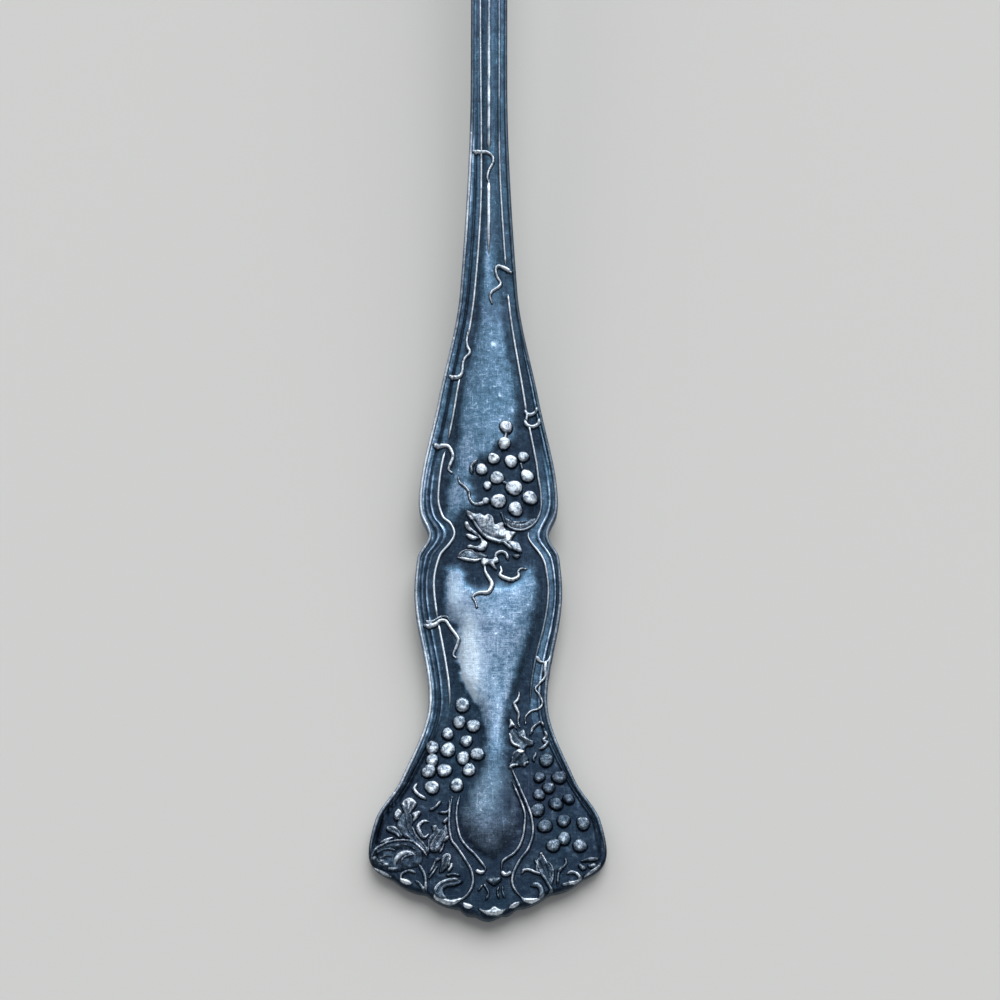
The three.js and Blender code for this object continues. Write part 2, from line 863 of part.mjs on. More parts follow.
const voluteRightLine = tipLine([
  [0.36, 11.8],
  [0.36, 9.9],
  [0.345, 8.4],
  [0.31, 6.9],
  [0.25, 5.7],
  [0.2, 4.7],
  [0.185, 3.6],
  [0.21, 2.6],
  [0.27, 2],
  [0.35, 1.9],
  [0.43, 2.4],
  [0.46, 3.2],
  [0.43, 4],
  [0.36, 4.4],
  [0.29, 4.1],
  [0.285, 3.4],
]);

// Leaf sprays at the corners
const acanthusLeft = spray([
  [
    2.2,
    [
      [-0.52, 6.2],
      [-0.6, 8],
      [-0.67, 9.6],
      [-0.73, 11.2],
    ],
  ],
  [
    0.9,
    [
      [-0.5, 6.3],
      [-0.62, 7.5],
      [-0.74, 7.9],
      [-0.85, 7.6],
    ],
  ],
  [
    1.8,
    [
      [-0.5, 5.9],
      [-0.66, 6.1],
      [-0.78, 6.2],
      [-0.88, 6.3],
    ],
  ],
  [
    0.7,
    [
      [-0.52, 6.2],
      [-0.56, 7.9],
      [-0.55, 9.2],
      [-0.49, 9.8],
    ],
  ],
  [
    0.8,
    [
      [-0.5, 6.2],
      [-0.46, 7.6],
      [-0.435, 9],
      [-0.42, 10.2],
    ],
  ],
  [
    0.8,
    [
      [-0.52, 6.1],
      [-0.46, 5.5],
      [-0.4, 5.4],
      [-0.36, 5.8],
    ],
  ],
  [
    0.6,
    [
      [-0.53, 6.2],
      [-0.56, 4.9],
      [-0.62, 4],
      [-0.7, 4.1],
      [-0.7, 4.8],
    ],
  ],
]);
const acanthusRight = spray([
  [
    0.8,
    [
      [0.58, 4],
      [0.53, 5],
      [0.47, 5.8],
    ],
  ],
  [
    0.8,
    [
      [0.58, 4],
      [0.6, 5],
      [0.62, 5.9],
    ],
  ],
  [
    1.1,
    [
      [0.57, 4],
      [0.72, 4.8],
      [0.86, 5.7],
    ],
  ],
]);

// Shell and beads at the end of the handle
const beadEnd = BEAD_LOBE - TIP_BEAD_WIDTH / 2;
const shellStem = tipLine([
  [0, 4.2],
  [0, 2.8],
  [0, 1.3],
]);
const shellFan = tipLine([
  [0, 2.2],
  [0, 1.3],
  [0, 0.45],
]);
const beadRise = TIP_SLOPE * beadEnd + TIP_BEAD_WIDTH / 2;
const shellBeads = smoothLine([
  [-beadEnd, beadRise],
  [0, beadRise - TIP_BEAD_WIDTH / 2],
  [beadEnd, beadRise],
]);
const tipShell = join([
  stroke(shellFan, SHELL_WIDTH, SHELL_HEIGHT, petal),
  stroke(shellStem, FRAME_LINE_WIDTH, FRAME_LINE_HEIGHT),
  stroke(shellBeads, TIP_BEAD_WIDTH, SHELL_HEIGHT / 2),
]);

// The bunches keep clear of the border and of the lines at the tip
const frameRoom = join([
  room(frameLeftLine, FRAME_LINE_WIDTH, FRAME_LINE_HEIGHT),
  room(frameRightLine, FRAME_LINE_WIDTH, FRAME_LINE_HEIGHT),
  room(voluteLeftLine, VOLUTE_LINE_WIDTH, VOLUTE_LINE_HEIGHT),
  room(voluteRightLine, VOLUTE_LINE_WIDTH, VOLUTE_LINE_HEIGHT),
]);
const frameStroke = (line) => stroke(line, FRAME_LINE_WIDTH, FRAME_LINE_HEIGHT);
const voluteStroke = (line) => stroke(line, VOLUTE_LINE_WIDTH, VOLUTE_LINE_HEIGHT);
const clearOfBorder = (body) => body.subtract(borderRoom);
const insideRims = field((at) => rimInset(at) + RIM_WIDTH / 2 + CLEARANCE);
const insideThreads = field((at) => threadInset(at) + THREAD_WIDTH / 2 + CLEARANCE);

const silver = (tone) => new THREE.MeshStandardMaterial({ color: tone, roughness: 0.32, metalness: 1 });
const ORNAMENT_TONE = 0xc9d0dc;
const BORDER_TONE = 0xb9c3d0;
const GROUND_TONE = 0x7f93a8;
const BOWL_TONE = 0xaab6c4;

const group = new THREE.Group();

function addPiece(name, body, tone, move) {
  const mesh = new THREE.Mesh(geometryOf(body, move), silver(tone));
  mesh.name = name;
  group.add(mesh);
}

const down = (x, at, z) => [x, at - LENGTH / 2, z];
addPiece("bowl", bowl, BOWL_TONE, down);
addPiece("shank", shank, GROUND_TONE, down);
addPiece("rim_left", stroke(rimLine(-1), RIM_WIDTH, RIM_HEIGHT), BORDER_TONE, onFace);
addPiece("rim_right", stroke(rimLine(1), RIM_WIDTH, RIM_HEIGHT), BORDER_TONE, onFace);
addPiece("thread_left", threadStroke(threadLeftLine), BORDER_TONE, onFace);
addPiece("thread_right_upper", threadStroke(threadUpperLine), BORDER_TONE, onFace);
addPiece("thread_right_lower", threadStroke(threadLowerLine), BORDER_TONE, onFace);
addPiece("stem_rib", stroke(ribLine, RIB_WIDTH, RIB_HEIGHT), BORDER_TONE, onFace);
addPiece("tendril_stem_left", clearOfBorder(tendrilStemLeft), ORNAMENT_TONE, onFace);
addPiece("tendril_stem_right", clearOfBorder(tendrilStemRight), ORNAMENT_TONE, onFace);
addPiece("tendril_taper_left", clearOfBorder(tendrilTaperLeft), ORNAMENT_TONE, onFace);
addPiece("tendril_shoulder_left", clearOfBorder(tendrilShoulderLeft), ORNAMENT_TONE, onFace);
addPiece("clasp_right", clearOfBorder(claspRight), ORNAMENT_TONE, onFace);
addPiece("tendril_hip_left", clearOfBorder(tendrilHipLeft), ORNAMENT_TONE, onFace);
addPiece("tendril_waist_right", clearOfBorder(tendrilWaistRight), ORNAMENT_TONE, onFace);
addPiece("bunch_upper", bunchUpper.intersect(insideThreads), ORNAMENT_TONE, onFace);
addPiece("bunch_left", bunchLeft.intersect(insideRims).subtract(frameRoom), ORNAMENT_TONE, onFace);
addPiece("bunch_right", bunchRight.intersect(insideRims).subtract(frameRoom), ORNAMENT_TONE, onFace);
addPiece("leaf_upper", clearOfBorder(leafUpper), ORNAMENT_TONE, onFace);
addPiece("leaf_right", clearOfBorder(leafRight), ORNAMENT_TONE, onFace);
addPiece("frame_left", frameStroke(frameLeftLine), BORDER_TONE, onFace);
addPiece("frame_right", frameStroke(frameRightLine), BORDER_TONE, onFace);
addPiece("volute_left", voluteStroke(voluteLeftLine), BORDER_TONE, onFace);
addPiece("volute_right", voluteStroke(voluteRightLine), BORDER_TONE, onFace);
addPiece("acanthus_left", clearOfBorder(acanthusLeft), ORNAMENT_TONE, onFace);
addPiece("acanthus_right", clearOfBorder(acanthusRight), ORNAMENT_TONE, onFace);
addPiece("tip_shell", tipShell, ORNAMENT_TONE, onFace);

export default group;
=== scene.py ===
import math

import bmesh
import bpy
import numpy as np
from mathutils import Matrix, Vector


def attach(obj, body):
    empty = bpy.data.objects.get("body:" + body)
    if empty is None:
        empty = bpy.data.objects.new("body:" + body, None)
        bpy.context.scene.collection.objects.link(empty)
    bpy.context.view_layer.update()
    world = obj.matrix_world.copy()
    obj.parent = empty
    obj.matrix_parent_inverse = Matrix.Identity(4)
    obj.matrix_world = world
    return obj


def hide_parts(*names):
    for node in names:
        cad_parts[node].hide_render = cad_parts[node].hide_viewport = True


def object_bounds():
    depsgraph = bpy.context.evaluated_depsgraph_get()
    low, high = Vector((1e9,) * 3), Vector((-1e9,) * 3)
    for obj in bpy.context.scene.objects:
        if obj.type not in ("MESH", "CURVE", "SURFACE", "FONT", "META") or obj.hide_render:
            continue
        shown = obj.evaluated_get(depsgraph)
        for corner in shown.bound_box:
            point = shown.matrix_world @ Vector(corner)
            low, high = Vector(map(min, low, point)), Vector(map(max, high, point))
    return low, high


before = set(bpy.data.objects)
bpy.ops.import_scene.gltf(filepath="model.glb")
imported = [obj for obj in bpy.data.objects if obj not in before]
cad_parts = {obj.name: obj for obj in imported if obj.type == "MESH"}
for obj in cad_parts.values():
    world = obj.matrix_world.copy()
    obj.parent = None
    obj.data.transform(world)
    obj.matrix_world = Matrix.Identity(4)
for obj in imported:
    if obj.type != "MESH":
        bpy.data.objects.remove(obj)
cad_low, cad_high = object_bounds()

# Sizes are in millimetres, in the frame of the solids, and become metres when a mesh is made.
# A place "at" is a distance along the server from the tip of the handle, and a "share" is a part
# of the half width there. A pair of places, such as ARCH, is where a change starts and ends.
MM = 0.001
LENGTH = (cad_high.y - cad_low.y) / MM
SEED = 7

# Shank, seen from above: places along it and half its width there
STATIONS = [
    (6.7, 11.65), (9.7, 11.1), (13.8, 8.65), (22, 5.95), (33.4, 7.55), (36.9, 7.3), (39.3, 6.2),
    (41.7, 7.075), (42.8, 7.2), (53.9, 5.3), (66, 3.05), (90, 2), (150, 2.3), (158, 3.4), (171, 1.2),
]
FLARE_AT, FLARE_HALF = STATIONS[0]
STEM_AT = 72
NECK_AT = 150
TONGUE_AT = 171
TIP_SLOPE = 0.43
LOBES = [1.3, 2.7, 6, 9.2]
LOBE_DEPTH = 0.7

# Shank, seen from the side
FLARE_THICKNESS = 1.9
STEM_THICKNESS = 3.0
THICKENING = (42.8, 90)
ARCH_RISE = 9.8
ARCH = (8, 135)
NECK_DROP = 3
NECK_BEND = (126, 158)
REST_CUT = 0.13
FACE_CROWN = 0.4
BACK_ROUND = 0.25
EDGE_RADIUS = 0.3

# Bowl: an egg in plan and half an ellipse in depth
BOWL_AT = 184
BOWL_HALF_LENGTH = 26
BOWL_HALF_WIDTH = 15.5
BOWL_DEPTH = 9.6
BOWL_WALL = 1.1
BOWL_POINTING = 0.1
RIM_Z = BOWL_DEPTH - REST_CUT
LAP = 0.1

# Relief of the face
RECESS = 0.15
FOOT = 0.02
SINK = 0.06
SKIRT = 0.2
NECK_FALL = (140, 157)
NECK_SINK = 0.3

rng = np.random.default_rng(SEED)


def smooth(value, low, high):
    t = np.clip((value - low) / (high - low), 0, 1)
    return t * t * (3 - 2 * t)


def hermite(points):
    """A smooth curve through (at, value) points, level at every high and low point."""
    at, value = np.array(points, float).T
    rise = np.diff(value) / np.diff(at)
    before, after = rise[:-1], rise[1:]
    slope = np.zeros(len(at))
    runs_on = before * after > 0
    slope[1:-1][runs_on] = (2 * before * after)[runs_on] / (before + after)[runs_on]

    def curve(where):
        where = np.clip(where, at[0], at[-1])
        i = np.clip(np.searchsorted(at, where) - 1, 0, len(at) - 2)
        run = at[i + 1] - at[i]
        t = (where - at[i]) / run
        s = 1 - t
        ends = value[i] * s * s * (1 + 2 * t) + value[i + 1] * t * t * (3 - 2 * t)
        return ends + t * s * run * (s * slope[i] - t * slope[i + 1])

    return curve


half_width = hermite(STATIONS)

# The two threads of the border, as shares of the half width
thread_left = hermite([
    (12, 0.8), (21, 0.64), (26, 0.67), (31.3, 0.71), (34.5, 0.735), (37.2, 0.68), (38.2, 0.61),
    (39.4, 0.56), (40.4, 0.59), (41.2, 0.67), (43.5, 0.72), (46.5, 0.715), (50, 0.67), (56, 0.63),
    (65, 0.5), (71.7, 0.39), (76.2, 0.35), (82, 0.38), (92.5, 0.46), (110, 0.5), (150, 0.52),
])
thread_right = hermite([
    (12, 0.84), (21, 0.71), (26, 0.74), (29.8, 0.79), (33.5, 0.812), (36.1, 0.79), (37.5, 0.73),
    (39.2, 0.66), (40.8, 0.7), (43, 0.76), (47.4, 0.735), (53.4, 0.71), (60.5, 0.69), (65, 0.67),
    (71.7, 0.6), (80.7, 0.53), (92.5, 0.56), (110, 0.54), (150, 0.52),
])

# Edges of the bright field, which narrows between the bunches and swells to a pear at the tip
field_left = hermite([
    (5.9, 0.6), (6.7, -0.85), (8.2, -2.1), (9.7, -2.5), (11.2, -2.2), (13, -1.5), (15, -0.75),
    (18.2, -0.5), (20.5, -0.7), (23, -2.15), (24.5, -2.95), (27, -3.15), (29.2, -3.3), (30.8, -4.1),
    (32.4, -4.75), (36, -4.7), (41, -4.6), (45.3, -4.2), (47.4, -3.7), (50, -3.4), (53.9, -2.95),
    (58.3, -2.1), (61, -1.55), (66, -1.1), (76, -0.65), (92, -0.75), (150, -1),
])
field_right = hermite([
    (5.9, 0.6), (6.7, 1.3), (8.2, 2.55), (9.7, 2.95), (11.2, 2.85), (13, 2.5), (14.8, 2.2),
    (18.2, 1.85), (20.5, 2.15), (23, 2.75), (24.5, 3.3), (27, 4), (30, 4.9), (33, 5.4),
    (36, 5.1), (40, 4.4), (43, 5), (47, 4.7), (51, 3.9), (54, 3.4), (58.3, 2.6), (61, 2.1),
    (66, 1.5), (76, 1.1), (92, 0.9), (150, 1),
])
FIELD_END = 5.9
FIELD_LEAST = 0.05

# Along the field: its rise in the middle, its wear, and how softly its brightness fades out at the right,
# partly a worn edge and partly painted shade on its right side.
# Beside it: the wear of the recess.
field_dome = hermite([
    (5.9, 0.1), (9, 0.5), (13, 0.35), (18, 0.2), (24, 0.3), (31, 0.45), (38, 0.3), (45, 0.4),
    (54, 0.3), (66, 0.12), (80, 0.04), (150, 0.04),
])
field_wear = hermite([
    (5.9, 0.26), (9, 0.37), (13, 0.4), (18, 0.54), (23, 0.595), (30, 0.595), (36, 0.55), (42, 0.485),
    (50, 0.49), (58, 0.475), (64, 0.43), (72, 0.3), (150, 0.26),
])
field_soft_right = hermite([
    (14, 0.35), (20, 0.5), (26, 1.1), (36, 1.2), (42, 1.4), (54, 1.6), (62, 0.8), (70, 0.6),
])
recess_wear = hermite([
    (0, 0.05), (12, 0.05), (20, 0.06), (30, 0.08), (46, 0.09), (56, 0.15), (66, 0.23), (74, 0.27),
    (150, 0.27),
])

# Edges of the field: over what width it rises from the recess, and where its wear starts. At the
# left the wear starts softly, and more so above the waist.
BED_EDGE = (-0.3, 0.6)
WORN_EDGE = -0.2
SOFT_LEFT = (0.35, 0.25)
SOFT_LEFT_AT = (29, 33)

# Across the border, from the edge at 0 to the thread at 1: the wear and the rise of its fine lines,
# on each side, below the shoulder and above it
BORDER_WEAR = {
    "left": (
        hermite([
            (0, 0.5), (0.2, 0.4), (0.27, 0.12), (0.34, 0.12), (0.39, 0.85), (0.43, 0.85), (0.49, 0.06),
            (0.54, 0.06), (0.59, 0.74), (0.64, 0.74), (0.7, 0.16), (0.85, 0.16), (0.93, 0.24), (1, 0.3),
        ]),
        hermite([
            (0, 0.45), (0.25, 0.5), (0.35, 0.36), (0.47, 0.3), (0.53, 0.06), (0.6, 0.06), (0.67, 0.32),
            (0.88, 0.3), (0.95, 0.22), (1, 0.22),
        ]),
    ),
    "right": (
        hermite([
            (0, 0.45), (0.22, 0.4), (0.3, 0.12), (0.38, 0.12), (0.47, 0.78), (0.53, 0.78), (0.6, 0.34),
            (0.75, 0.4), (0.9, 0.38), (1, 0.3),
        ]),
        hermite([
            (0, 0.32), (0.2, 0.28), (0.27, 0.55), (0.35, 0.55), (0.42, 0.2), (0.55, 0.1), (0.9, 0.1),
            (1, 0.2),
        ]),
    ),
}
BORDER_RISE = {
    "left": (
        hermite([
            (0, 0), (0.33, 0), (0.41, 0.13), (0.49, -0.06), (0.54, -0.06), (0.61, 0.1), (0.7, -0.04),
            (0.92, -0.04), (1, 0),
        ]),
        hermite([(0, 0), (0.46, 0), (0.53, -0.14), (0.6, -0.14), (0.68, 0.02), (1, 0)]),
    ),
    "right": (
        hermite([(0, 0), (0.38, -0.05), (0.47, 0.12), (0.53, 0.12), (0.62, -0.02), (1, 0)]),
        hermite([(0, 0), (0.2, -0.03), (0.27, 0.1), (0.35, 0.1), (0.44, -0.08), (0.9, -0.08), (1, 0)]),
    ),
}
BORDER_CHANGE = (42, 50)
BORDER_MEAN = 0.3

# Near the tip the border follows the scallops and has a greatest width
TIP_TURN = FLARE_AT + 5
TIP_BORDER = 1.4

# Where the fine lines start, the width of border that they need, and where their wear comes and goes
LINES_START = (FLARE_AT - 2, FLARE_AT)
LINES_NEED = (0.9, 1.5)
LINES_WORN = (13, 27)
LINES_LOST = (58, 72)
LINES_LOSS = 0.8

# Beside the waist, the shoulder and the stem the left edge, turned to the light, has a painted highlight
# over a wider band
HIGHLIGHT_BAND = (0.75, 0.38)
left_edge_highlight = hermite([
    (9, 0), (14, 0.2), (19, 0.4), (25, 0.45), (30, 0.2), (36, 0.1), (39, 0), (42, 0.3), (45, 0.38),
    (49, 0.2), (54, 0), (73, 0), (76, 0.4), (82.5, 0.45), (84, 0),
])

# Places on the field made brighter or darker: across, at, their two half sizes, the change
PATCHES_AND_HIGHLIGHT = [
    # the first entry, the long bright streak on the left of the lower panel, is a painted reflection of
    # the window
    (-1.95, 26, 1.2, 3.6, 0.62), (-1.3, 22, 0.9, 2.5, 0.14), (-3.4, 33, 1.1, 2.4, 0.3),
    (-1.5, 30.4, 1.2, 1.4, 0.14), (4.9, 34.5, 0.3, 0.6, 0.3), (-2.2, 49, 0.6, 4, 0.12),
    (-3.4, 43.5, 0.7, 1.4, 0.14), (4.4, 26.5, 0.8, 4.5, -0.12), (-1, 10.8, 0.6, 2.4, 0.08),
    (0.4, 9.5, 0.3, 2.2, 0.08), (1.9, 11.5, 0.9, 3.5, -0.2), (0.4, 7.6, 0.9, 0.7, 0.16),
    (0.8, 21.5, 0.9, 2, 0.08), (1.7, 16, 0.6, 1.6, -0.12), (-0.1, 70, 0.4, 4, 0.28),
    (0.5, 59.9, 0.25, 0.2, 0.5), (1.2, 54.3, 0.14, 0.22, 0.4), (2.5, 52.7, 0.16, 0.26, 0.5),
    (-1.9, 43, 0.5, 0.4, 0.2),
]

# Random changes: the size of their patches, their seed and their strength
FIELD_RAGGED = [(0.9, 1, 0.25), (0.4, 2, 0.15)]
DARK_RAGGED = [(0.8, 3, 0.25), (0.35, 4, 0.15)]
RECESS_UNEVEN = [(0.7, 5, 0.28), (0.28, 13, 0.24)]
FIELD_UNEVEN = [(1.3, 6, 0.04), (0.5, 7, 0.05)]
LINE_UNEVEN = [(1.4, 9, 1), (0.4, 10, 0.6)]
LEAF_RIPPLE = [(0.6, 11, 0.08)]
LEAF_UNEVEN = [(0.5, 12, 0.14)]
ORNAMENT_PITS = [(0.75, 14, 0.16), (0.24, 15, 0.26)]
FIELD_STREAKS = [(1.6, 8, 0.05)]
MOTTLE_CELLS = 97

# Streaks along the field near the waist, and bright specks in the recess
STREAK_NARROWING = 4
STREAKS_END = (34, 24)
SPECKS = [(0.3, 13, 1)]
SPECK_LEVEL = 0.3
SPECK_WEAR = 0.3
SPECKS_END = (28, 18)
SPECKS_IN_DARK = 0.7

# Ground that lies deep and dark: round the upper bunch and the upper leaf
DARK_AREAS = [
    [
        (0.8, 48.5), (1.7, 48.2), (2.8, 49.4), (3.3, 52), (4, 52), (4.7, 49), (5.1, 47), (5.4, 44.9),
        (5.4, 42), (4.4, 41), (0.7, 41), (-0.8, 42.2), (-1.4, 43.9), (-1.6, 45.6), (-0.8, 47.2),
        (0.1, 47.1),
    ],
    [
        (-3.4, 40.5), (-2.4, 41.6), (-0.9, 41.9), (1.4, 41.5), (2, 39.8), (3.5, 39.5), (4.2, 38.9),
        (4.4, 37.8), (5, 36.5), (4.5, 35.9), (3.8, 35.9), (3.4, 34.5), (2.3, 33.9), (0.9, 34.3),
        (0.2, 33.6), (-1.2, 33.6), (-2, 34), (-2.4, 35.2), (-3.4, 36.2), (-4.4, 36), (-4.6, 38),
        (-4.1, 39.6),
    ],
]

# How softly it starts, how far it lowers and flattens the field, and how much wear it loses
DARK_EDGE = (-0.75, 0.35)
DARK_SUNK = 0.4
DARK_FLAT = 0.3
DARK_LOSS = 0.2


def arch_height(at):
    drop = NECK_DROP * smooth(at, *NECK_BEND)
    return ARCH_RISE * smooth(at, *ARCH) - drop - REST_CUT


def thickness(at):
    return FLARE_THICKNESS + (STEM_THICKNESS - FLARE_THICKNESS) * smooth(at, *THICKENING)


def face_height(x, at):
    half = half_width(at)
    crown = FACE_CROWN * half / FLARE_HALF * (1 - np.minimum(1, np.abs(x) / half) ** 2)
    return arch_height(at) + thickness(at) + crown


def under_bowl(x, at, grow):
    """Height of the outside of the bowl over a place on the shank, or a high value beside it."""
    y = (at - BOWL_AT) / (BOWL_HALF_LENGTH + grow)
    across = x / ((BOWL_HALF_WIDTH + grow) * (1 - BOWL_POINTING * y))
    inside = 1 - y * y - across * across
    depth = (BOWL_DEPTH + grow) * np.sqrt(np.maximum(0, inside))
    return np.where(inside > 0, RIM_Z - depth, 2 * BOWL_DEPTH)


def back_height(x, at):
    share = np.minimum(1, np.abs(x) / half_width(at))
    reach = (BOWL_AT - at) / (BOWL_HALF_LENGTH + STEM_THICKNESS)
    wrap = RIM_Z - BOWL_DEPTH * np.sqrt(np.maximum(0, 1 - reach * reach))
    lower = np.minimum(arch_height(at), np.where(reach < 1, wrap, RIM_Z))
    return np.maximum(0, lower + BACK_ROUND * thickness(at) * share**2)


# Lines, outlines and maps


def bezier(corners, steps=24):
    t = np.linspace(0, 1, steps)[:, None]
    points = [np.array(corner, float) + 0 * t for corner in corners]
    while len(points) > 1:
        points = [a * (1 - t) + b * t for a, b in zip(points[:-1], points[1:])]
    return points[0]


def run_along(line):
    """Distance along a line at each of its points."""
    return np.concatenate([[0], np.cumsum(np.hypot(*np.diff(line, axis=0).T))])


def read_line(line, run, where):
    """Points of a line at given places of its run."""
    return np.column_stack([np.interp(where, run, line[:, k]) for k in (0, 1)])


def resample(line, count):
    """A line in even steps."""
    run = run_along(line)
    return read_line(line, run, np.linspace(0, run[-1], count))


def tip_outline():
    """The scalloped end of the handle, from the left flare to the right one."""
    parts = [bezier([(0, 0), (LOBES[0] / 2, 0), (LOBES[0], TIP_SLOPE * LOBES[0])])]
    for low, high in zip(LOBES[:-1], LOBES[1:]):
        middle = (low + high) / 2
        bow = (middle, TIP_SLOPE * middle - LOBE_DEPTH)
        parts.append(bezier([(low, TIP_SLOPE * low), bow, (high, TIP_SLOPE * high)]))
    turn = (FLARE_HALF + LOBES[-1]) / 2
    start = (LOBES[-1], TIP_SLOPE * LOBES[-1])
    bend = [(turn, TIP_SLOPE * turn), (FLARE_HALF, TIP_SLOPE * FLARE_HALF)]
    parts.append(bezier([start, *bend, (FLARE_HALF, FLARE_AT)]))
    right = np.vstack(parts)
    return np.vstack([(right * (-1, 1))[::-1], right])


CURVE_STEPS = 14
LEAST_POINTS = 5


def smooth_line(points, step=0.2, closed=False):
    """A smooth line through a few points, in even steps."""
    points = np.array(points, float)
    if closed:
        padded = np.vstack([points[-1:], points, points[:2]])
    else:
        padded = np.vstack([2 * points[0] - points[1], points, 2 * points[-1] - points[-2]])
    t = np.linspace(0, 1, CURVE_STEPS)[:-1, None]
    parts = []
    for a, b, c, d in zip(padded[:-3], padded[1:-2], padded[2:-1], padded[3:]):
        bend = (2 * a - 5 * b + 4 * c - d) * t**2 + (3 * b - a - 3 * c + d) * t**3
        parts.append(b + 0.5 * ((c - a) * t + bend))
    parts.append(padded[-2:-1])
    line = np.vstack(parts)
    return resample(line, max(LEAST_POINTS, int(run_along(line)[-1] / step) + 1))


def to_line(x, at, line):
    """Distance from each place to a line, and how far along the line its nearest point is."""
    gap = np.full(np.shape(x), np.inf)
    along = np.zeros(np.shape(x))
    run = run_along(line)
    for i in range(len(line) - 1):
        (px, pa), (dx, da) = line[i], line[i + 1] - line[i]
        span = dx * dx + da * da
        if span == 0:
            continue
        t = np.clip(((x - px) * dx + (at - pa) * da) / span, 0, 1)
        here = np.hypot(x - px - t * dx, at - pa - t * da)
        near = here < gap
        gap = np.where(near, here, gap)
        along = np.where(near, (run[i] + t * (run[i + 1] - run[i])) / run[-1], along)
    return gap, along


def in_outline(x, at, outline):
    """Distance inside a closed outline, negative outside it."""
    closed = np.vstack([outline, outline[:1]])
    inside = np.zeros(np.shape(x), bool)
    for (px, pa), (qx, qa) in zip(closed[:-1], closed[1:]):
        if pa != qa:
            passes = (pa > at) != (qa > at)
            inside ^= passes & (x < px + (at - pa) / (qa - pa) * (qx - px))
    gap, _ = to_line(x, at, closed)
    return np.where(inside, gap, -gap)


class Map:
    """A value worked out once on a grid over the handle, and read anywhere by interpolation."""

    STEP = 0.13
    LOW = (-13.0, -1.5)
    HIGH = (13.0, 70.0)
    END = HIGH[1] - 2

    def __init__(self, value):
        across = np.arange(self.LOW[0], self.HIGH[0], self.STEP)
        along = np.arange(self.LOW[1], self.HIGH[1], self.STEP)
        self.grid = value(*np.meshgrid(across, along))

    def __call__(self, x, at):
        rows, columns = self.grid.shape
        u = np.clip((x - self.LOW[0]) / self.STEP, 0, columns - 1.001)
        v = np.clip((at - self.LOW[1]) / self.STEP, 0, rows - 1.001)
        i, j = u.astype(int), v.astype(int)
        s, t = u - i, v - j
        g = self.grid
        low = g[j, i] * (1 - s) + g[j, i + 1] * s
        return low * (1 - t) + (g[j + 1, i] * (1 - s) + g[j + 1, i + 1] * s) * t


SIDE_POINTS = 160
OUTLINE_POINTS = 180
PAST_MAP = 5


def inset_value(x, at):
    """Distance inside the outline of the handle."""
    sides = np.linspace(FLARE_AT, Map.HIGH[1] + PAST_MAP, SIDE_POINTS)
    right = np.column_stack([half_width(sides), sides])
    left = (right * (-1, 1))[::-1]
    return in_outline(x, at, np.vstack([left, resample(tip_outline(), OUTLINE_POINTS), right]))


inset_map = Map(inset_value)


def edge_gap(x, at):
    """Distance inside the edge of the shank, read from the map on the handle."""
    return np.where(at < Map.END, inset_map(x, at), half_width(at) - np.abs(x))


def mottle(x, at, size, seed):
    """Smooth random values from -1 to 1, in patches of about the given size."""
    values = np.random.default_rng(SEED + seed).uniform(-1, 1, (MOTTLE_CELLS, MOTTLE_CELLS))
    u, v = np.asarray(x) / size + MOTTLE_CELLS / 2, np.asarray(at) / size
    i, j = np.floor(u).astype(int), np.floor(v).astype(int)
    s, t = smooth(u - i, 0, 1), smooth(v - j, 0, 1)

    def row(step):
        first = values[(j + step) % MOTTLE_CELLS, i % MOTTLE_CELLS]
        return first * (1 - s) + values[(j + step) % MOTTLE_CELLS, (i + 1) % MOTTLE_CELLS] * s

    return row(0) * (1 - t) + row(1) * t


def uneven(x, at, patches):
    """Random changes of several sizes, added up."""
    return sum(strength * mottle(x, at, size, seed) for size, seed, strength in patches)


def dark_value(x, at):
    levels = [in_outline(x, at, np.array(area)) for area in DARK_AREAS]
    return smooth(np.max(levels, axis=0) + uneven(x, at, DARK_RAGGED), *DARK_EDGE)


dark_map = Map(dark_value)


def dark_share(x, at):
    return np.where(at < Map.END, dark_map(x, at), 0)


# Ground: the face of the shank before the ornament


def across_border(profiles, x, step, at):
    """A value across the border, from the profile of its side, below and above the shoulder."""
    high = smooth(at, *BORDER_CHANGE)
    left, right = [low_part(step) * (1 - high) + high_part(step) * high
                   for low_part, high_part in (profiles["left"], profiles["right"])]
    return np.where(x < 0, left, right)


def border_step(x, at):
    """How far a place is across the border, and how far the fine lines show there."""
    half = half_width(at)
    width = half * (1 - np.where(x < 0, thread_left(at), thread_right(at)))
    near_tip = edge_gap(x, at) / np.minimum(width, TIP_BORDER)
    step = np.where(at < TIP_TURN, near_tip, (half - np.abs(x)) / width)
    return step, smooth(width, *LINES_NEED) * smooth(at, *LINES_START)


def field_span(at):
    """Left and right edge of the field, and half its width."""
    left, right = field_left(at), field_right(at)
    return left, right, np.maximum(FIELD_LEAST, (right - left) / 2)


def ground_height(x, at):
    left, right, reach = field_span(at)
    inside = np.where(at < FIELD_END, -1, np.minimum(x - left, right - x))
    bed = smooth(inside, BED_EDGE[0], np.minimum(BED_EDGE[1], reach))
    dark = dark_share(x, at)
    dome = field_dome(at) * np.maximum(0, 1 - ((x - (left + right) / 2) / reach) ** 2)
    lift = bed * (RECESS * (1 - DARK_SUNK * dark) + dome * (1 - DARK_FLAT * dark)) - RECESS
    step, shown = border_step(x, at)
    lift = lift + across_border(BORDER_RISE, x, step, at) * shown
    round_off = np.maximum(0, EDGE_RADIUS - np.maximum(0, edge_gap(x, at)))
    lift = lift - EDGE_RADIUS + np.sqrt(np.maximum(0, EDGE_RADIUS**2 - round_off**2))
    height = face_height(x, at) + lift - NECK_SINK * smooth(at, *NECK_FALL)
    return np.minimum(height, under_bowl(x, at, LAP) - FOOT)


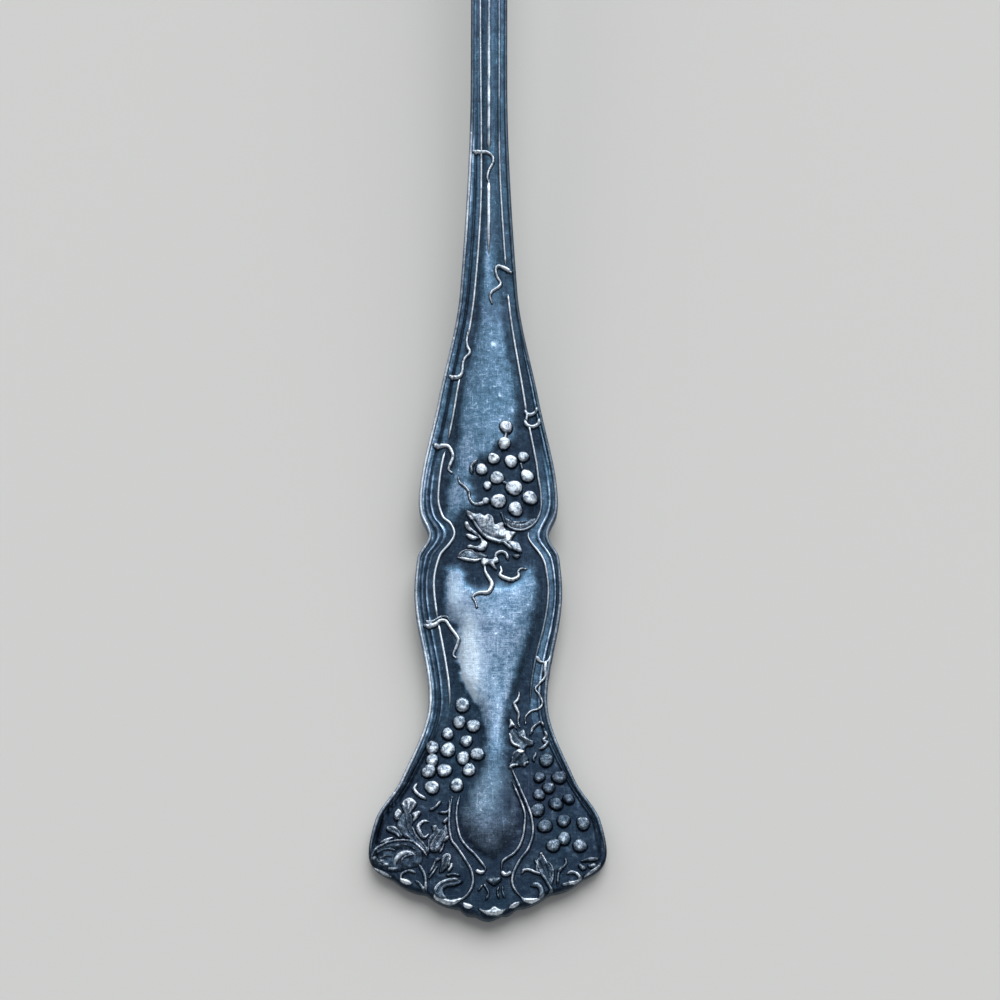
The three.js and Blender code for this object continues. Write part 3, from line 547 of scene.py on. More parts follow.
def field_share(x, at):
    """How far a place belongs to the worn field, which has ragged edges."""
    left, right, reach = field_span(at)
    ragged = uneven(x, at, FIELD_RAGGED)
    soft_left = SOFT_LEFT[0] + SOFT_LEFT[1] * smooth(at, *SOFT_LEFT_AT)
    from_left = smooth(x - left + ragged, WORN_EDGE, np.minimum(soft_left, reach))
    # the wide fade at the right darkens the field's right side: a worn edge and painted shade
    from_right = smooth(right - x + ragged, WORN_EDGE, np.minimum(field_soft_right(at), reach))
    return from_left * from_right * (at > FIELD_END)


def field_tone(x, at):
    """Wear of the field, with its streaks, its brighter and darker patches and a painted highlight."""
    streaks = uneven(STREAK_NARROWING * x, at, FIELD_STREAKS) * smooth(at, *STREAKS_END)
    tone = field_wear(at) + uneven(x, at, FIELD_UNEVEN) + streaks
    for patch_x, patch_at, across, along, change in PATCHES_AND_HIGHLIGHT:
        tone = tone + change * np.exp(-(((x - patch_x) / across) ** 2) - ((at - patch_at) / along) ** 2)
    return np.minimum(tone, 1)


def recess_tone(x, at, dark):
    """Wear beside the field: the lines of the border, the specks, and the painted highlight on the left
    edge.
    """
    step, shown = border_step(x, at)
    between = recess_wear(at)
    lines = BORDER_MEAN + (across_border(BORDER_WEAR, x, step, at) - BORDER_MEAN) * shown
    worn = smooth(at, *LINES_WORN) * (1 - LINES_LOSS * smooth(at, *LINES_LOST))
    tone = np.where(step < 1, between + (lines - between) * worn, between)
    # painted highlight along the left edge only, the side that faces the light
    lit_band = smooth(half_width(at) - np.abs(x), *HIGHLIGHT_BAND)
    tone = tone + np.where(x < 0, left_edge_highlight(at), 0) * lit_band
    specks = np.maximum(0, uneven(x, at, SPECKS) - SPECK_LEVEL)
    specks = specks * np.maximum(smooth(at, *SPECKS_END), SPECKS_IN_DARK * dark)
    return tone * (1 + uneven(x, at, RECESS_UNEVEN)) + SPECK_WEAR * specks


def ground_wear(x, at):
    dark = dark_share(x, at)
    recess = recess_tone(x, at, dark)
    wear = recess + (field_tone(x, at) - recess) * field_share(x, at) * (1 - dark)
    return np.clip(wear * (1 - DARK_LOSS * dark), 0, 1)


# Meshes

SHARP = 50
SHANK_SHARP = 60


def place(x, at, z):
    return np.column_stack([np.ravel(x), np.ravel(at) - LENGTH / 2, np.ravel(z)])


def grid_quads(index):
    """Faces between the neighbours in a grid of point numbers."""
    corners = [index[:-1, :-1], index[1:, :-1], index[1:, 1:], index[:-1, 1:]]
    return np.stack(corners, -1).reshape(-1, 4)


def tube_faces(rings, around):
    """Faces of a row of rings, closed at both ends."""
    index = np.arange(rings * around).reshape(rings, around)
    return [*grid_quads(np.column_stack([index, index[:, 0]])), tuple(index[0]), tuple(index[-1])]


def fill_mesh(mesh, shape):
    bmesh.ops.recalc_face_normals(shape, faces=shape.faces)
    shape.to_mesh(mesh)
    shape.free()


def shade_smooth(mesh, sharp):
    """Smooth shading, except over edges that turn by more than the angle."""
    mesh.polygons.foreach_set("use_smooth", np.ones(len(mesh.polygons), bool))
    mesh.set_sharp_from_angle(angle=math.radians(sharp))


def add_object(name, data):
    thing = bpy.data.objects.new(name, data)
    bpy.context.scene.collection.objects.link(thing)
    return thing


def add_piece(node, places, faces, wear, finish, slot, sharp=SHARP):
    """A closed mesh that stands for a node of the solids."""
    mesh = bpy.data.meshes.new(node + "_silver")
    mesh.from_pydata((places * MM).tolist(), [], [tuple(face) for face in faces])
    shape = bmesh.new()
    shape.from_mesh(mesh)
    fill_mesh(mesh, shape)
    attribute = mesh.attributes.new("wear", "FLOAT", "POINT")
    attribute.data.foreach_set("value", wear.astype(np.float32))
    shade_smooth(mesh, sharp)
    mesh.materials.append(finish)
    piece = add_object(node + "_silver", mesh)
    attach(piece, "root")
    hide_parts(node)
    return piece


# Materials

# Colours from tarnished to bright
BLACKENED = [(0.0, (0.01, 0.019, 0.035)), (0.15, (0.024, 0.04, 0.064))]
BLUE_SHEEN = BLACKENED + [
    (0.34, (0.045, 0.086, 0.134)), (0.52, (0.092, 0.173, 0.265)), (0.70, (0.252, 0.352, 0.495)),
    (0.86, (0.445, 0.59, 0.75)), (1.0, (0.71, 0.85, 1.0)),
]
GREY_SHEEN = BLACKENED + [
    (0.34, (0.06, 0.088, 0.12)), (0.52, (0.125, 0.170, 0.225)), (0.70, (0.285, 0.335, 0.4)),
    (0.86, (0.495, 0.545, 0.605)), (1.0, (0.71, 0.785, 0.87)),
]

# Old tarnish turns purple-brown in places and blue-green in others
TARNISH = [
    (0.30, (0.54, 0.40, 0.44)), (0.46, (0.50, 0.50, 0.50)), (0.54, (0.50, 0.50, 0.50)),
    (0.72, (0.34, 0.54, 0.54)),
]

# Where the blue of the sheen fades out toward the tip, and how much of it goes
BLUE_ENDS = ((18 - LENGTH / 2) * MM, (12 - LENGTH / 2) * MM)
BLUE_LOSS = 0.6

# Noise in the metal: its scale and detail. Scratches: their turn and how they are stretched.
NOISES = {
    "dust": (8000, 2), "fine": (3000, 4, 0.65), "grain": (1300, 3), "cloud": (420, 3), "broad": (130, 2),
}
SCRATCHES = {"scratch": (0.12, (7000, 420, 3000)), "crossed": (0.7, (520, 9000, 3000))}

# Where the metal counts as recessed and as polished, and the share of the changes left in a recess
RECESSED = (0.05, 0.45)
POLISHED = (0.62, 0.88)
RECESS_CHANGE = 0.7
TINTED = (0.1, 0.9)
LEAST_TINT = 0.05
ROUGH_TARNISH = 0.48
ROUGH_CHANGE = (0.3, 0.7, -0.06, 0.08)
SCRATCH_DEPTH = 0.5
BUMP = {"Strength": 0.35, "Distance": 0.00005}


class Nodes:
    """Short calls for building a node tree."""

    def __init__(self, tree):
        self.tree = tree

    def fill(self, node, inputs):
        for name, value in inputs.items():
            if isinstance(value, bpy.types.NodeSocket):
                self.tree.links.new(value, node.inputs[name])
            else:
                node.inputs[name].default_value = value

    def add(self, kind, inputs, output=0, **settings):
        node = self.tree.nodes.new("ShaderNode" + kind)
        for name, value in settings.items():
            setattr(node, name, value)
        self.fill(node, inputs)
        return node.outputs[output]

    def noise(self, vector, scale, detail, roughness=0.55):
        inputs = {"Vector": vector, "Scale": scale, "Detail": detail, "Roughness": roughness}
        return self.add("TexNoise", inputs, "Fac")

    def spread(self, value, low, high, to_low, to_high):
        inputs = {"Value": value, "From Min": low, "From Max": high, "To Min": to_low, "To Max": to_high}
        return self.add("MapRange", inputs)

    def math(self, operation, first, second):
        return self.add("Math", {0: first, 1: second}, operation=operation)

    def mix(self, factor, first, second, blend="MIX"):
        inputs = {"Factor": factor, "A": first, "B": second}
        return self.add("Mix", inputs, 2, data_type="RGBA", blend_type=blend)

    def ramp(self, value, stops):
        node = self.tree.nodes.new("ShaderNodeValToRGB")
        self.tree.links.new(value, node.inputs["Fac"])
        elements = node.color_ramp.elements
        while len(elements) < len(stops):
            elements.new(0.5)
        for element, (position, colour) in zip(elements, stops):
            element.position = position
            element.color = (*colour, 1)
        return node.outputs["Color"]


def metal_noise(n, coords):
    """The noise of every size and the scratches, by name."""
    marks = {name: n.noise(coords, *noise) for name, noise in NOISES.items()}
    for name, (turn, stretch) in SCRATCHES.items():
        turned = n.add("Mapping", {"Vector": coords, "Rotation": (0, 0, turn), "Scale": stretch})
        marks[name] = n.noise(turned, 1, 2)
    return marks


def metal_brightness(n, marks, speckled, blotched, polished):
    """The wear of the shape, with its painted highlights and shade, broken up by speckles, clouds and
    scratches.
    """
    wear = n.add("Attribute", {}, "Fac", attribute_name="wear")
    # The noise, two of its values, and the change of brightness at each
    changes = [
        ("dust", 0.36, 0.64, -speckled, speckled),
        ("fine", 0.36, 0.64, -speckled, speckled),
        ("grain", 0.34, 0.66, -blotched, blotched),
        ("cloud", 0.3, 0.7, -0.04, 0.04),
        ("fine", 0.64, 0.7, 0, 0.25),
        ("fine", 0.36, 0.28, 0, -0.2),
        ("scratch", 0.6, 0.7, 0, 0.14),
        ("crossed", 0.62, 0.7, 0, 0.14),
    ]
    change = 0.0
    for name, *limits in changes:
        change = n.math("ADD", change, n.spread(marks[name], *limits))
    in_recess = n.spread(wear, *RECESSED, RECESS_CHANGE, 1)
    strength = n.math("MULTIPLY", in_recess, n.spread(wear, *POLISHED, 1, polished))
    return n.math("ADD", wear, n.math("MULTIPLY", change, strength))


def metal_colour(n, coords, bright, broad, sheen, tinted):
    """The sheen, greyer toward the tip, with the tints of old tarnish over it."""
    along = n.add("SeparateXYZ", {"Vector": coords}, "Y")
    greyed = n.spread(along, *BLUE_ENDS, 0, BLUE_LOSS)
    colour = n.mix(greyed, n.ramp(bright, sheen), n.ramp(bright, GREY_SHEEN))
    share = n.spread(bright, *TINTED, tinted, LEAST_TINT)
    return n.mix(share, colour, n.ramp(broad, TARNISH), "OVERLAY")


def silver_plate(name, sheen, speckled, blotched, polished, tinted, rough_bright):
    """Worn silver plate: the attribute wear, which also carries painted highlights and shade, says how far
    the tarnish is rubbed away.

    The brightest metal keeps only the polished share of its speckles."""
    material = bpy.data.materials.new(name)
    material.use_nodes = True
    n = Nodes(material.node_tree)
    coords = n.add("TexCoord", {}, "Object")
    marks = metal_noise(n, coords)
    bright = metal_brightness(n, marks, speckled, blotched, polished)
    rough = n.spread(bright, 0.0, 1.0, ROUGH_TARNISH, rough_bright)
    scratches = n.math("MULTIPLY", n.math("ADD", marks["scratch"], marks["crossed"]), SCRATCH_DEPTH)
    n.fill(n.tree.nodes["Principled BSDF"], {
        "Base Color": metal_colour(n, coords, bright, marks["broad"], sheen, tinted),
        "Metallic": 1.0,
        "Roughness": n.math("ADD", rough, n.spread(marks["fine"], *ROUGH_CHANGE)),
        "Normal": n.add("Bump", {**BUMP, "Height": n.math("ADD", marks["grain"], scratches)}),
    })
    return material


ground_silver = silver_plate(
    "silver_ground", BLUE_SHEEN, speckled=0.07, blotched=0.05, polished=0.35, tinted=0.4, rough_bright=0.36
)
border_silver = silver_plate(
    "silver_border", GREY_SHEEN, speckled=0.06, blotched=0.05, polished=0.9, tinted=0.35, rough_bright=0.42
)
ornament_silver = silver_plate(
    "silver_ornament", GREY_SHEEN, speckled=0.16, blotched=0.1, polished=1, tinted=0.25, rough_bright=0.48
)
bowl_silver = silver_plate(
    "silver_bowl", GREY_SHEEN, speckled=0.04, blotched=0.03, polished=0.6, tinted=0.2, rough_bright=0.26
)

# Shank

BORDER_COLUMNS = 28
BORDER_REACH = 1.25
FIELD_COLUMNS = 31
NECK_STEP = 0.3
STEM_STEP = 0.8
HANDLE_STEP = 0.24
TIP_FROM = 12
TIP_ROWS = 56
TIP_POINTS = 1200
TIP_EVEN = 0.65
TIP_CROWDING = 1.35
LEAST_THICKNESS = 0.12

# Back of the shank: the width and rise of its rounded edge, and its wear
BACK_EDGE = 0.45
BACK_EDGE_RISE = 0.35
BACK_WEAR = 0.5
BACK_CHANGE = 0.12
BACK_RUBBED = (0.3, 2)
BACK_DULLED = (140, 158)


def straight_row(at):
    """Places across the shank: close together over the border, even over the field."""
    half = half_width(at)
    steps = np.linspace(0, BORDER_REACH, BORDER_COLUMNS)
    left = -half + steps * half * (1 - thread_left(at))
    right = half - steps * half * (1 - thread_right(at))
    field = np.linspace(left[-1], right[-1], FIELD_COLUMNS + 2)[1:-1]
    across = np.concatenate([left, field, right[::-1]])
    return np.column_stack([across, np.full(len(across), at)])


def tip_rows():
    """Rows that turn from a straight one into the scalloped outline of the tip."""
    top = straight_row(TIP_FROM)
    share = (top[:, 0] - top[0, 0]) / (top[-1, 0] - top[0, 0])
    outline = resample(tip_outline(), TIP_POINTS)
    spread = (1 - TIP_EVEN) * share + TIP_EVEN * np.linspace(0, 1, len(top))
    bottom = read_line(outline, np.arange(TIP_POINTS), spread * (TIP_POINTS - 1))
    rows = []
    for t in 1 - (1 - np.linspace(0, 1, TIP_ROWS)) ** TIP_CROWDING:
        side_at = TIP_FROM + (FLARE_AT - TIP_FROM) * t
        side = np.array([half_width(side_at), side_at])
        row = top * (1 - t) + bottom * t
        bow = side - row[-1]
        rows.append(row + share[:, None] * bow + (1 - share)[:, None] * bow * (-1, 1))
    return rows


def shank_grid():
    """Places of the face seen from above, row by row from the tongue to the scalloped tip."""
    straight = np.concatenate([
        np.arange(TONGUE_AT, NECK_AT, -NECK_STEP),
        np.arange(NECK_AT, STEM_AT, -STEM_STEP),
        np.arange(STEM_AT, TIP_FROM, -HANDLE_STEP),
    ])
    return np.array([straight_row(at) for at in straight] + tip_rows())


def build_shank():
    grid = shank_grid()
    x, at = grid[..., 0], grid[..., 1]
    gap = np.maximum(0, edge_gap(x, at))
    back = back_height(x, at) + BACK_EDGE_RISE * (1 - smooth(gap, 0, BACK_EDGE))
    front = np.maximum(ground_height(x, at), back + LEAST_THICKNESS)
    count = x.size
    index = np.arange(count).reshape(x.shape)
    quads = grid_quads(index)
    loop = np.concatenate([index[0, :-1], index[:-1, -1], index[-1, :0:-1], index[:0:-1, 0]])
    after = np.roll(loop, -1)
    middle = 2 * count + np.arange(len(loop))
    middle_after = np.roll(middle, -1)
    walls = np.vstack([
        np.column_stack([loop, after, middle_after, middle]),
        np.column_stack([middle, middle_after, after + count, loop + count]),
    ])
    between = 0.5 * (front + back).ravel()[loop]
    places = np.vstack([
        place(x, at, front), place(x, at, back), place(x.ravel()[loop], at.ravel()[loop], between)
    ])
    back_wear = BACK_WEAR + BACK_CHANGE * (smooth(gap, *BACK_RUBBED) - smooth(at, *BACK_DULLED))
    wear = np.concatenate([
        ground_wear(x, at).ravel(), back_wear.ravel(), np.full(len(loop), BACK_WEAR)
    ])
    faces = np.vstack([quads, quads[:, ::-1] + count, walls])
    add_piece("shank", places, faces, wear, ground_silver, "ground_plate", SHANK_SHARP)


# Lines of the border, swept along the shank

HALF_ROUND = 9
ROUNDNESS = 0.7
LINE_STEP = 0.15
STEM_LINE_STEP = 0.5
LINE_TAPER = 2.0
LEAST_SWELL = 0.02
LEAST_WEAR = 0.06
CREST = (0.2, 0.95)
THREAD_FROM = 21
LOWER_THREAD = (21.6, 39.7)
RIB_FROM = 70
RIM_INSET = 0.21
SLOPE_STEP = 0.05
RIM_SIZE = (0.38, 0.24)
THREAD_SIZE = (0.3, 0.28)
RIB_SIZE = (0.46, 0.34)
GAP_TAPER = 0.5
GAP_SINK = 0.05
LINE_GAPS = {
    "thread_left": [(29.9, 30.7), (48.3, 49.8), (56.3, 61)],
    "thread_right_upper": [(51.3, 52.7), (65.6, 68.8)],
    "stem_rib": [(78.1, 82)],
}

# The right thread ends in a hook under the upper bunch
HOOK = [
    (1.6, 40.9), (1.9, 40.3), (2.3, 39.95), (3, 39.75), (3.7, 39.8), (4.3, 40.15), (4.9, 40.75),
    (5.3, 41.6), (5.45, 42.5), (5.4, 44), (5.18, 45.4),
]
HOOK_JOIN = (47, 49)

# How bright each line is along its way, and how uneven: worn, and on the left rim also a painted highlight
# that keeps it brighter than the right rim
RIM_LEFT_WEAR_AND_HIGHLIGHT = [
    (6.7, 0.5), (13, 0.66), (20, 0.84), (25, 0.9), (29, 0.84), (34, 0.72), (38, 0.62), (43, 0.86),
    (50, 0.84), (57, 0.78), (64, 0.5), (70, 0.66), (75, 0.8), (82, 0.74), (86, 0.32), (150, 0.28),
]
RIM_RIGHT_WEAR = [
    (6.7, 0.42), (20, 0.5), (30, 0.56), (36, 0.52), (43, 0.6), (48, 0.5), (56, 0.32), (150, 0.28),
]
THREAD_LEFT_WEAR = [
    (21, 0.45), (22.5, 0.85), (25, 0.95), (36, 1), (46, 0.95), (54, 0.85), (68, 0.92), (84, 0.7),
    (150, 0.66),
]
THREAD_RIGHT_WEAR = [
    (21, 0.4), (27, 0.5), (33, 0.66), (38, 0.9), (41, 0.6), (46, 0.8), (55, 0.88), (66, 0.86),
    (80, 0.68), (83, 0.6), (84.5, 0.36), (87, 0.36), (88.5, 0.6), (150, 0.56),
]
RIB_WEAR = [(70, 0.86), (78, 0.9), (84, 0.72), (150, 0.68)]
EVEN_WEAR = 0.1
PATCHY_WEAR = 0.32


def sweep(line, size, shine, patchy, gaps):
    """A half-round line along the face, its foot sunk in the ground."""
    width, height = size
    turn = np.linspace(0, math.pi, HALF_ROUND)
    across = np.concatenate([[1], np.cos(turn), [-1]])
    up = np.concatenate([[-SKIRT / height], np.sin(turn) ** ROUNDNESS, [-SKIRT / height]])
    crest = smooth(np.clip(up, 0, 1), *CREST)
    ahead = np.gradient(line, axis=0)
    ahead /= np.hypot(*ahead.T)[:, None]
    run = run_along(line)
    reach = np.minimum(run, run[-1] - run) / LINE_TAPER
    for low, high in gaps:
        reach = np.minimum(reach, np.maximum(low - line[:, 1], line[:, 1] - high) / GAP_TAPER)
    swell = np.sqrt(np.clip(reach, LEAST_SWELL, 1))[:, None]
    x = line[:, :1] - ahead[:, 1:] * across * swell * width / 2
    at = line[:, 1:] + ahead[:, :1] * across * swell * width / 2
    base = ground_height(line[:, 0], line[:, 1])[:, None]
    z = base + np.where(up > 0, up * swell, up) * height - GAP_SINK * (reach < 0)[:, None]
    shade = 1 + patchy * uneven(x, at, LINE_UNEVEN)
    wear = np.clip(crest * hermite(shine)(line[:, 1])[:, None] * shade, LEAST_WEAR, 1)
    return place(x, at, z), tube_faces(*x.shape), wear.ravel()


def border_line(side, share, start, stop):
    """A line along the shank at a share of its half width, in steps that follow its bends."""
    at = np.concatenate([
        np.arange(start, min(STEM_AT, stop), LINE_STEP),
        np.arange(max(STEM_AT, start), stop, STEM_LINE_STEP),
    ])
    return np.column_stack([side * share(at) * half_width(at), at])


def rim_share(at):
    slope = (half_width(at + SLOPE_STEP) - half_width(at - SLOPE_STEP)) / (2 * SLOPE_STEP)
    return 1 - RIM_INSET * np.hypot(1, slope) / half_width(at)


def no_share(at):
    return 0 * at


def build_lines():
    hook = smooth_line([*HOOK, *border_line(1, thread_right, *HOOK_JOIN)], LINE_STEP)
    upper = np.vstack([hook[:-1], border_line(1, thread_right, HOOK_JOIN[1], NECK_AT)])
    lower = border_line(1, thread_right, *LOWER_THREAD)
    lines = {
        "rim_left": (border_line(-1, rim_share, FLARE_AT, NECK_AT), RIM_SIZE, RIM_LEFT_WEAR_AND_HIGHLIGHT),
        "rim_right": (border_line(1, rim_share, FLARE_AT, NECK_AT), RIM_SIZE, RIM_RIGHT_WEAR),
        "thread_left": (border_line(-1, thread_left, THREAD_FROM, NECK_AT), THREAD_SIZE, THREAD_LEFT_WEAR),
        "thread_right_upper": (upper, THREAD_SIZE, THREAD_RIGHT_WEAR),
        "thread_right_lower": (lower, THREAD_SIZE, THREAD_RIGHT_WEAR),
        "stem_rib": (border_line(1, no_share, RIB_FROM, NECK_AT), RIB_SIZE, RIB_WEAR),
    }
    for node, (line, size, shine) in lines.items():
        patchy = PATCHY_WEAR if node == "stem_rib" else EVEN_WEAR
        surface = sweep(line, size, shine, patchy, LINE_GAPS.get(node, ()))
        add_piece(node, *surface, border_silver, "border_plate")


# Ornament raised from the face: each form gives its level, its rise and its wear over a grid

CELL = 0.055
MARGIN = 0.28
BUNCH_MARGIN = 0.34
EDGE_ALLOWANCE = 0.03
FOOT_WEAR = 0.3
LINE_HEIGHT = 0.36
RIB_HEIGHT = 0.54
LEAF_HEIGHT = 0.46
GRAPE_HEIGHT = 0.46
LEAF_EDGE = 0.24
CRISP_EDGE = 0.16
VEIN_WIDTH = 0.12
VEIN_DEPTH = 0.35
VEIN_DARK = 0.45
WORN_FROM = (0.1, 0.7)
FORM_STEP = 0.12
CREST_POWER = 2.4
LEAST_RISE = 0.4

# Grapes: their unevenness, tilt and flatness, their range of shine, and the painted highlight low on each,
# toward the tip
GRAPE_WAVES = (0.05, 0.035)
GRAPE_TILT = 0.1
GRAPE_REACH = 1.1
GRAPE_FLATNESS = 5
GRAPE_SHINE = (0.9, 1.05)
GRAPE_WORN = (0.3, 0.8)
PAINTED_GLINT = 0.28
PAINTED_GLINT_PLACE = (0.1, 0.4)
PAINTED_GLINT_SIZE = 0.36


def led_by(triangles, marked, wanted):
    """The triangles turned so that each starts with its first corner marked as wanted."""
    turn = np.argmax(marked[triangles] == wanted, axis=1)
    return np.take_along_axis(triangles, (turn[:, None] + np.arange(3)) % 3, 1)


def cut_grid(keep):
    """Triangles over the part of a grid where keep is above zero, cut where it passes zero.

    Returns the corners as pairs of grid points with a share between them, and the triangles."""
    a, d, c, b = grid_quads(np.arange(keep.size).reshape(keep.shape)).T
    triangles = np.vstack([np.column_stack([a, b, c]), np.column_stack([a, c, d])])
    value = keep.ravel()
    inside = value > 0
    count = inside[triangles].sum(1)
    one = led_by(triangles[count == 1], inside, True)
    two = led_by(triangles[count == 2], inside, False)
    crossings = np.vstack([one[:, [0, 1]], one[:, [0, 2]], two[:, [1, 0]], two[:, [2, 0]]])
    keys, which = np.unique(crossings, axis=0, return_inverse=True)
    which = which.ravel() + len(value)
    ends = np.cumsum([len(one), len(one), len(two)])
    first, second, third, fourth = np.split(which, ends)
    faces = np.vstack([
        triangles[count == 3],
        np.column_stack([one[:, 0], first, second]),
        np.column_stack([two[:, 1], two[:, 2], fourth]),
        np.column_stack([two[:, 1], fourth, third]),
    ])
    share = value[keys[:, 0]] / (value[keys[:, 0]] - value[keys[:, 1]])
    used, faces = np.unique(faces, return_inverse=True)
    pairs = np.vstack([np.column_stack([np.arange(len(value))] * 2), keys])[used]
    shares = np.concatenate([np.zeros(len(value)), share])[used]
    return pairs, shares, faces.reshape(-1, 3)


def relief(forms, x, at, margin):
    """Level, height and wear of the highest form at each place, with a foot round the forms."""
    level, rise, wear = np.full(x.shape, -np.inf), np.zeros(x.shape), np.zeros(x.shape)
    for _, shape in forms:
        here, up, bright = shape(x, at)
        above = (here > 0) & (up > rise)
        rise = np.where(above, up, rise)
        wear = np.where(above, bright, wear)
        level = np.maximum(level, here)
    outside = level <= 0
    fade = np.clip(-level / margin, 0, 1)
    rise = np.where(outside, FOOT - (FOOT + SINK) * fade, rise + FOOT)
    foot_wear = ground_wear(x, at) * (FOOT_WEAR + (1 - FOOT_WEAR) * fade)
    wear = np.clip(wear * (1 + uneven(x, at, ORNAMENT_PITS)), 0, 1)
    return level, rise, np.where(outside, foot_wear, wear)


def open_edges(faces):
    """The edges that belong to one face only."""
    edges = np.vstack([faces[:, [0, 1]], faces[:, [1, 2]], faces[:, [2, 0]]])
    _, which, times = np.unique(np.sort(edges, axis=1), axis=0, return_index=True, return_counts=True)
    return edges[which[times == 1]]


def raise_piece(node, forms, finish, slot, margin=MARGIN):
    """A closed piece of relief from its forms, with a dark foot that sinks into the ground."""
    spots = np.vstack([spot for spot, _ in forms])
    low, high = spots.min(0) - margin - 2 * CELL, spots.max(0) + margin + 2 * CELL
    x, at = np.meshgrid(np.arange(low[0], high[0], CELL), np.arange(low[1], high[1], CELL))
    level, rise, wear = relief(forms, x, at, margin)
    base = ground_height(x, at)
    pairs, shares, faces = cut_grid(np.minimum(level + margin, edge_gap(x, at) + EDGE_ALLOWANCE))

    def at_corners(value):
        first, second = value.ravel()[pairs.T]
        return first + (second - first) * shares

    corner_x, corner_at = at_corners(x), at_corners(at)
    top = place(corner_x, corner_at, at_corners(base + rise))
    bottom = place(corner_x, corner_at, at_corners(base) - SKIRT)
    count = len(top)
    rim = open_edges(faces)
    skirt = np.column_stack([rim[:, 1], rim[:, 0], rim[:, 0] + count, rim[:, 1] + count])
    all_faces = [*faces, *(faces[:, ::-1] + count), *skirt]
    all_wear = np.concatenate([at_corners(wear), np.zeros(count)])
    add_piece(node, np.vstack([top, bottom]), all_faces, all_wear, finish, slot)


# How wide a line is along its way


def even(along):
    """One width, rounded off at both ends."""
    return np.sqrt(np.clip(np.minimum(along, 1 - along) * 9, 0.12, 1))


def running_out(along):
    """A thick head, then a thin line that runs out."""
    head = 1 - 0.42 * smooth(along, 0.08, 0.32)
    return head * np.sqrt(np.clip(along * 22, 0.3, 1)) * np.sqrt(np.clip((1 - along) * 5, 0.32, 1))


def fading_in(along):
    """The same from the other end."""
    return running_out(1 - along)


def snaking(along):
    """Thick in the middle, thin at both ends."""
    return 0.35 + 0.65 * np.sin(math.pi * np.clip(along * 1.1 + 0.05, 0, 1))


def crescent(along):
    """Thick in the middle, pointed at both ends."""
    return 0.15 + 0.85 * np.sin(math.pi * along) ** 0.7


# Forms: each returns the places that it reaches and its shape


def reached(points, reach):
    return np.vstack([points - reach, points + reach])


def ridge(bright, width, points, swell=even, height=LINE_HEIGHT):
    """A raised line with a rounded crest."""
    line = smooth_line(points, FORM_STEP)

    def shape(x, at):
        gap, along = to_line(x, at, line)
        scale = swell(along)
        half = width / 2 * scale
        crest = np.sqrt(1 - np.clip(gap / half, 0, 1) ** CREST_POWER)
        up = height * (LEAST_RISE + (1 - LEAST_RISE) * scale) * crest
        return half - gap, up, bright * smooth(crest, *WORN_FROM)

    return reached(line, width / 2), shape


def vine(width, points):
    """A tendril, worn bright, that runs out thin."""
    return ridge(1.0, width, points, running_out)


def lobe(bright, points, edge=LEAF_EDGE, height=LEAF_HEIGHT, veins=()):
    """A flat leaf with a rounded edge and sunk veins."""
    outline = smooth_line(points, FORM_STEP, closed=True)
    lines = [smooth_line(vein) for vein in veins]

    def shape(x, at):
        level = in_outline(x, at, outline)
        round_edge = np.sqrt(1 - (1 - np.clip(level / edge, 0, 1)) ** 2)
        cut = np.zeros(x.shape)
        for line in lines:
            gap, _ = to_line(x, at, line)
            cut = np.maximum(cut, np.exp(-((gap / VEIN_WIDTH) ** 2)))
        up = (height + uneven(x, at, LEAF_RIPPLE)) * round_edge * (1 - VEIN_DEPTH * cut)
        shade = bright * (1 + uneven(x, at, LEAF_UNEVEN)) * (1 - VEIN_DARK * cut)
        return level, up, shade * smooth(round_edge, *WORN_FROM)

    return reached(outline, 0), shape


def berry(bright, x_place, at_place, radius):
    """A grape: a slightly uneven flattened dome, worn bright on top, with a painted highlight low on it.
    """
    lean, wobble = rng.uniform(0, 2 * math.pi, 2)
    tilt = rng.uniform(-GRAPE_TILT, GRAPE_TILT, 2)
    shine = bright * rng.uniform(*GRAPE_SHINE)
    glint_x, glint_at = np.array(PAINTED_GLINT_PLACE) * radius

    def shape(x, at):
        dx, da = x - x_place, at - at_place
        gap, turn = np.hypot(dx, da), np.arctan2(da, dx)
        waves = GRAPE_WAVES[0] * np.sin(2 * turn + lean) + GRAPE_WAVES[1] * np.sin(3 * turn + wobble)
        edge = radius * (1 + waves)
        dome = np.sqrt(1 - np.clip(gap / edge, 0, 1) ** GRAPE_FLATNESS)
        up = GRAPE_HEIGHT * dome * (1 + tilt[0] * dx + tilt[1] * da)
        # painted highlight: a bright spot low on the grape, toward the tip, added to its wear
        painted_glint = np.exp(-((dx + glint_x) ** 2 + (da + glint_at) ** 2) / (PAINTED_GLINT_SIZE * radius) ** 2)
        return edge - gap, up, (shine + PAINTED_GLINT * painted_glint) * smooth(dome, *GRAPE_WORN)

    return reached(np.array([[x_place, at_place]]), radius * GRAPE_REACH), shape


# Grapes: across, at, radius
UPPER_GRAPES = [
    (1.85, 50.75, 0.72), (1.65, 48.95, 0.68), (0.55, 47.3, 0.64), (2.35, 47.05, 0.72),
    (3.6, 47.6, 0.62), (-0.7, 46.15, 0.64), (4, 45.55, 0.72), (0.9, 45.25, 0.74), (2.65, 44.2, 0.88),
    (-0.1, 44.4, 0.47), (4.3, 43.2, 0.8), (1.05, 42.75, 0.82), (2.8, 41.95, 0.8), (-0.25, 42.75, 0.38),
]
LEFT_GRAPES = [
    (-2.55, 21.4, 0.78), (-2.85, 19.65, 0.7), (-1.45, 19.25, 0.72), (-4, 18.45, 0.65),
    (-2.15, 17.7, 0.66), (-5.5, 17.05, 0.72), (-3.95, 16.8, 0.8), (-1.05, 16.35, 0.72),
    (-2.45, 15.95, 0.72), (-5.5, 15.75, 0.68), (-5.85, 14.65, 0.74), (-4.3, 14.7, 0.76),
    (-1.85, 14.75, 0.7), (-5.5, 13, 0.76), (-3.05, 13.2, 0.72),
]
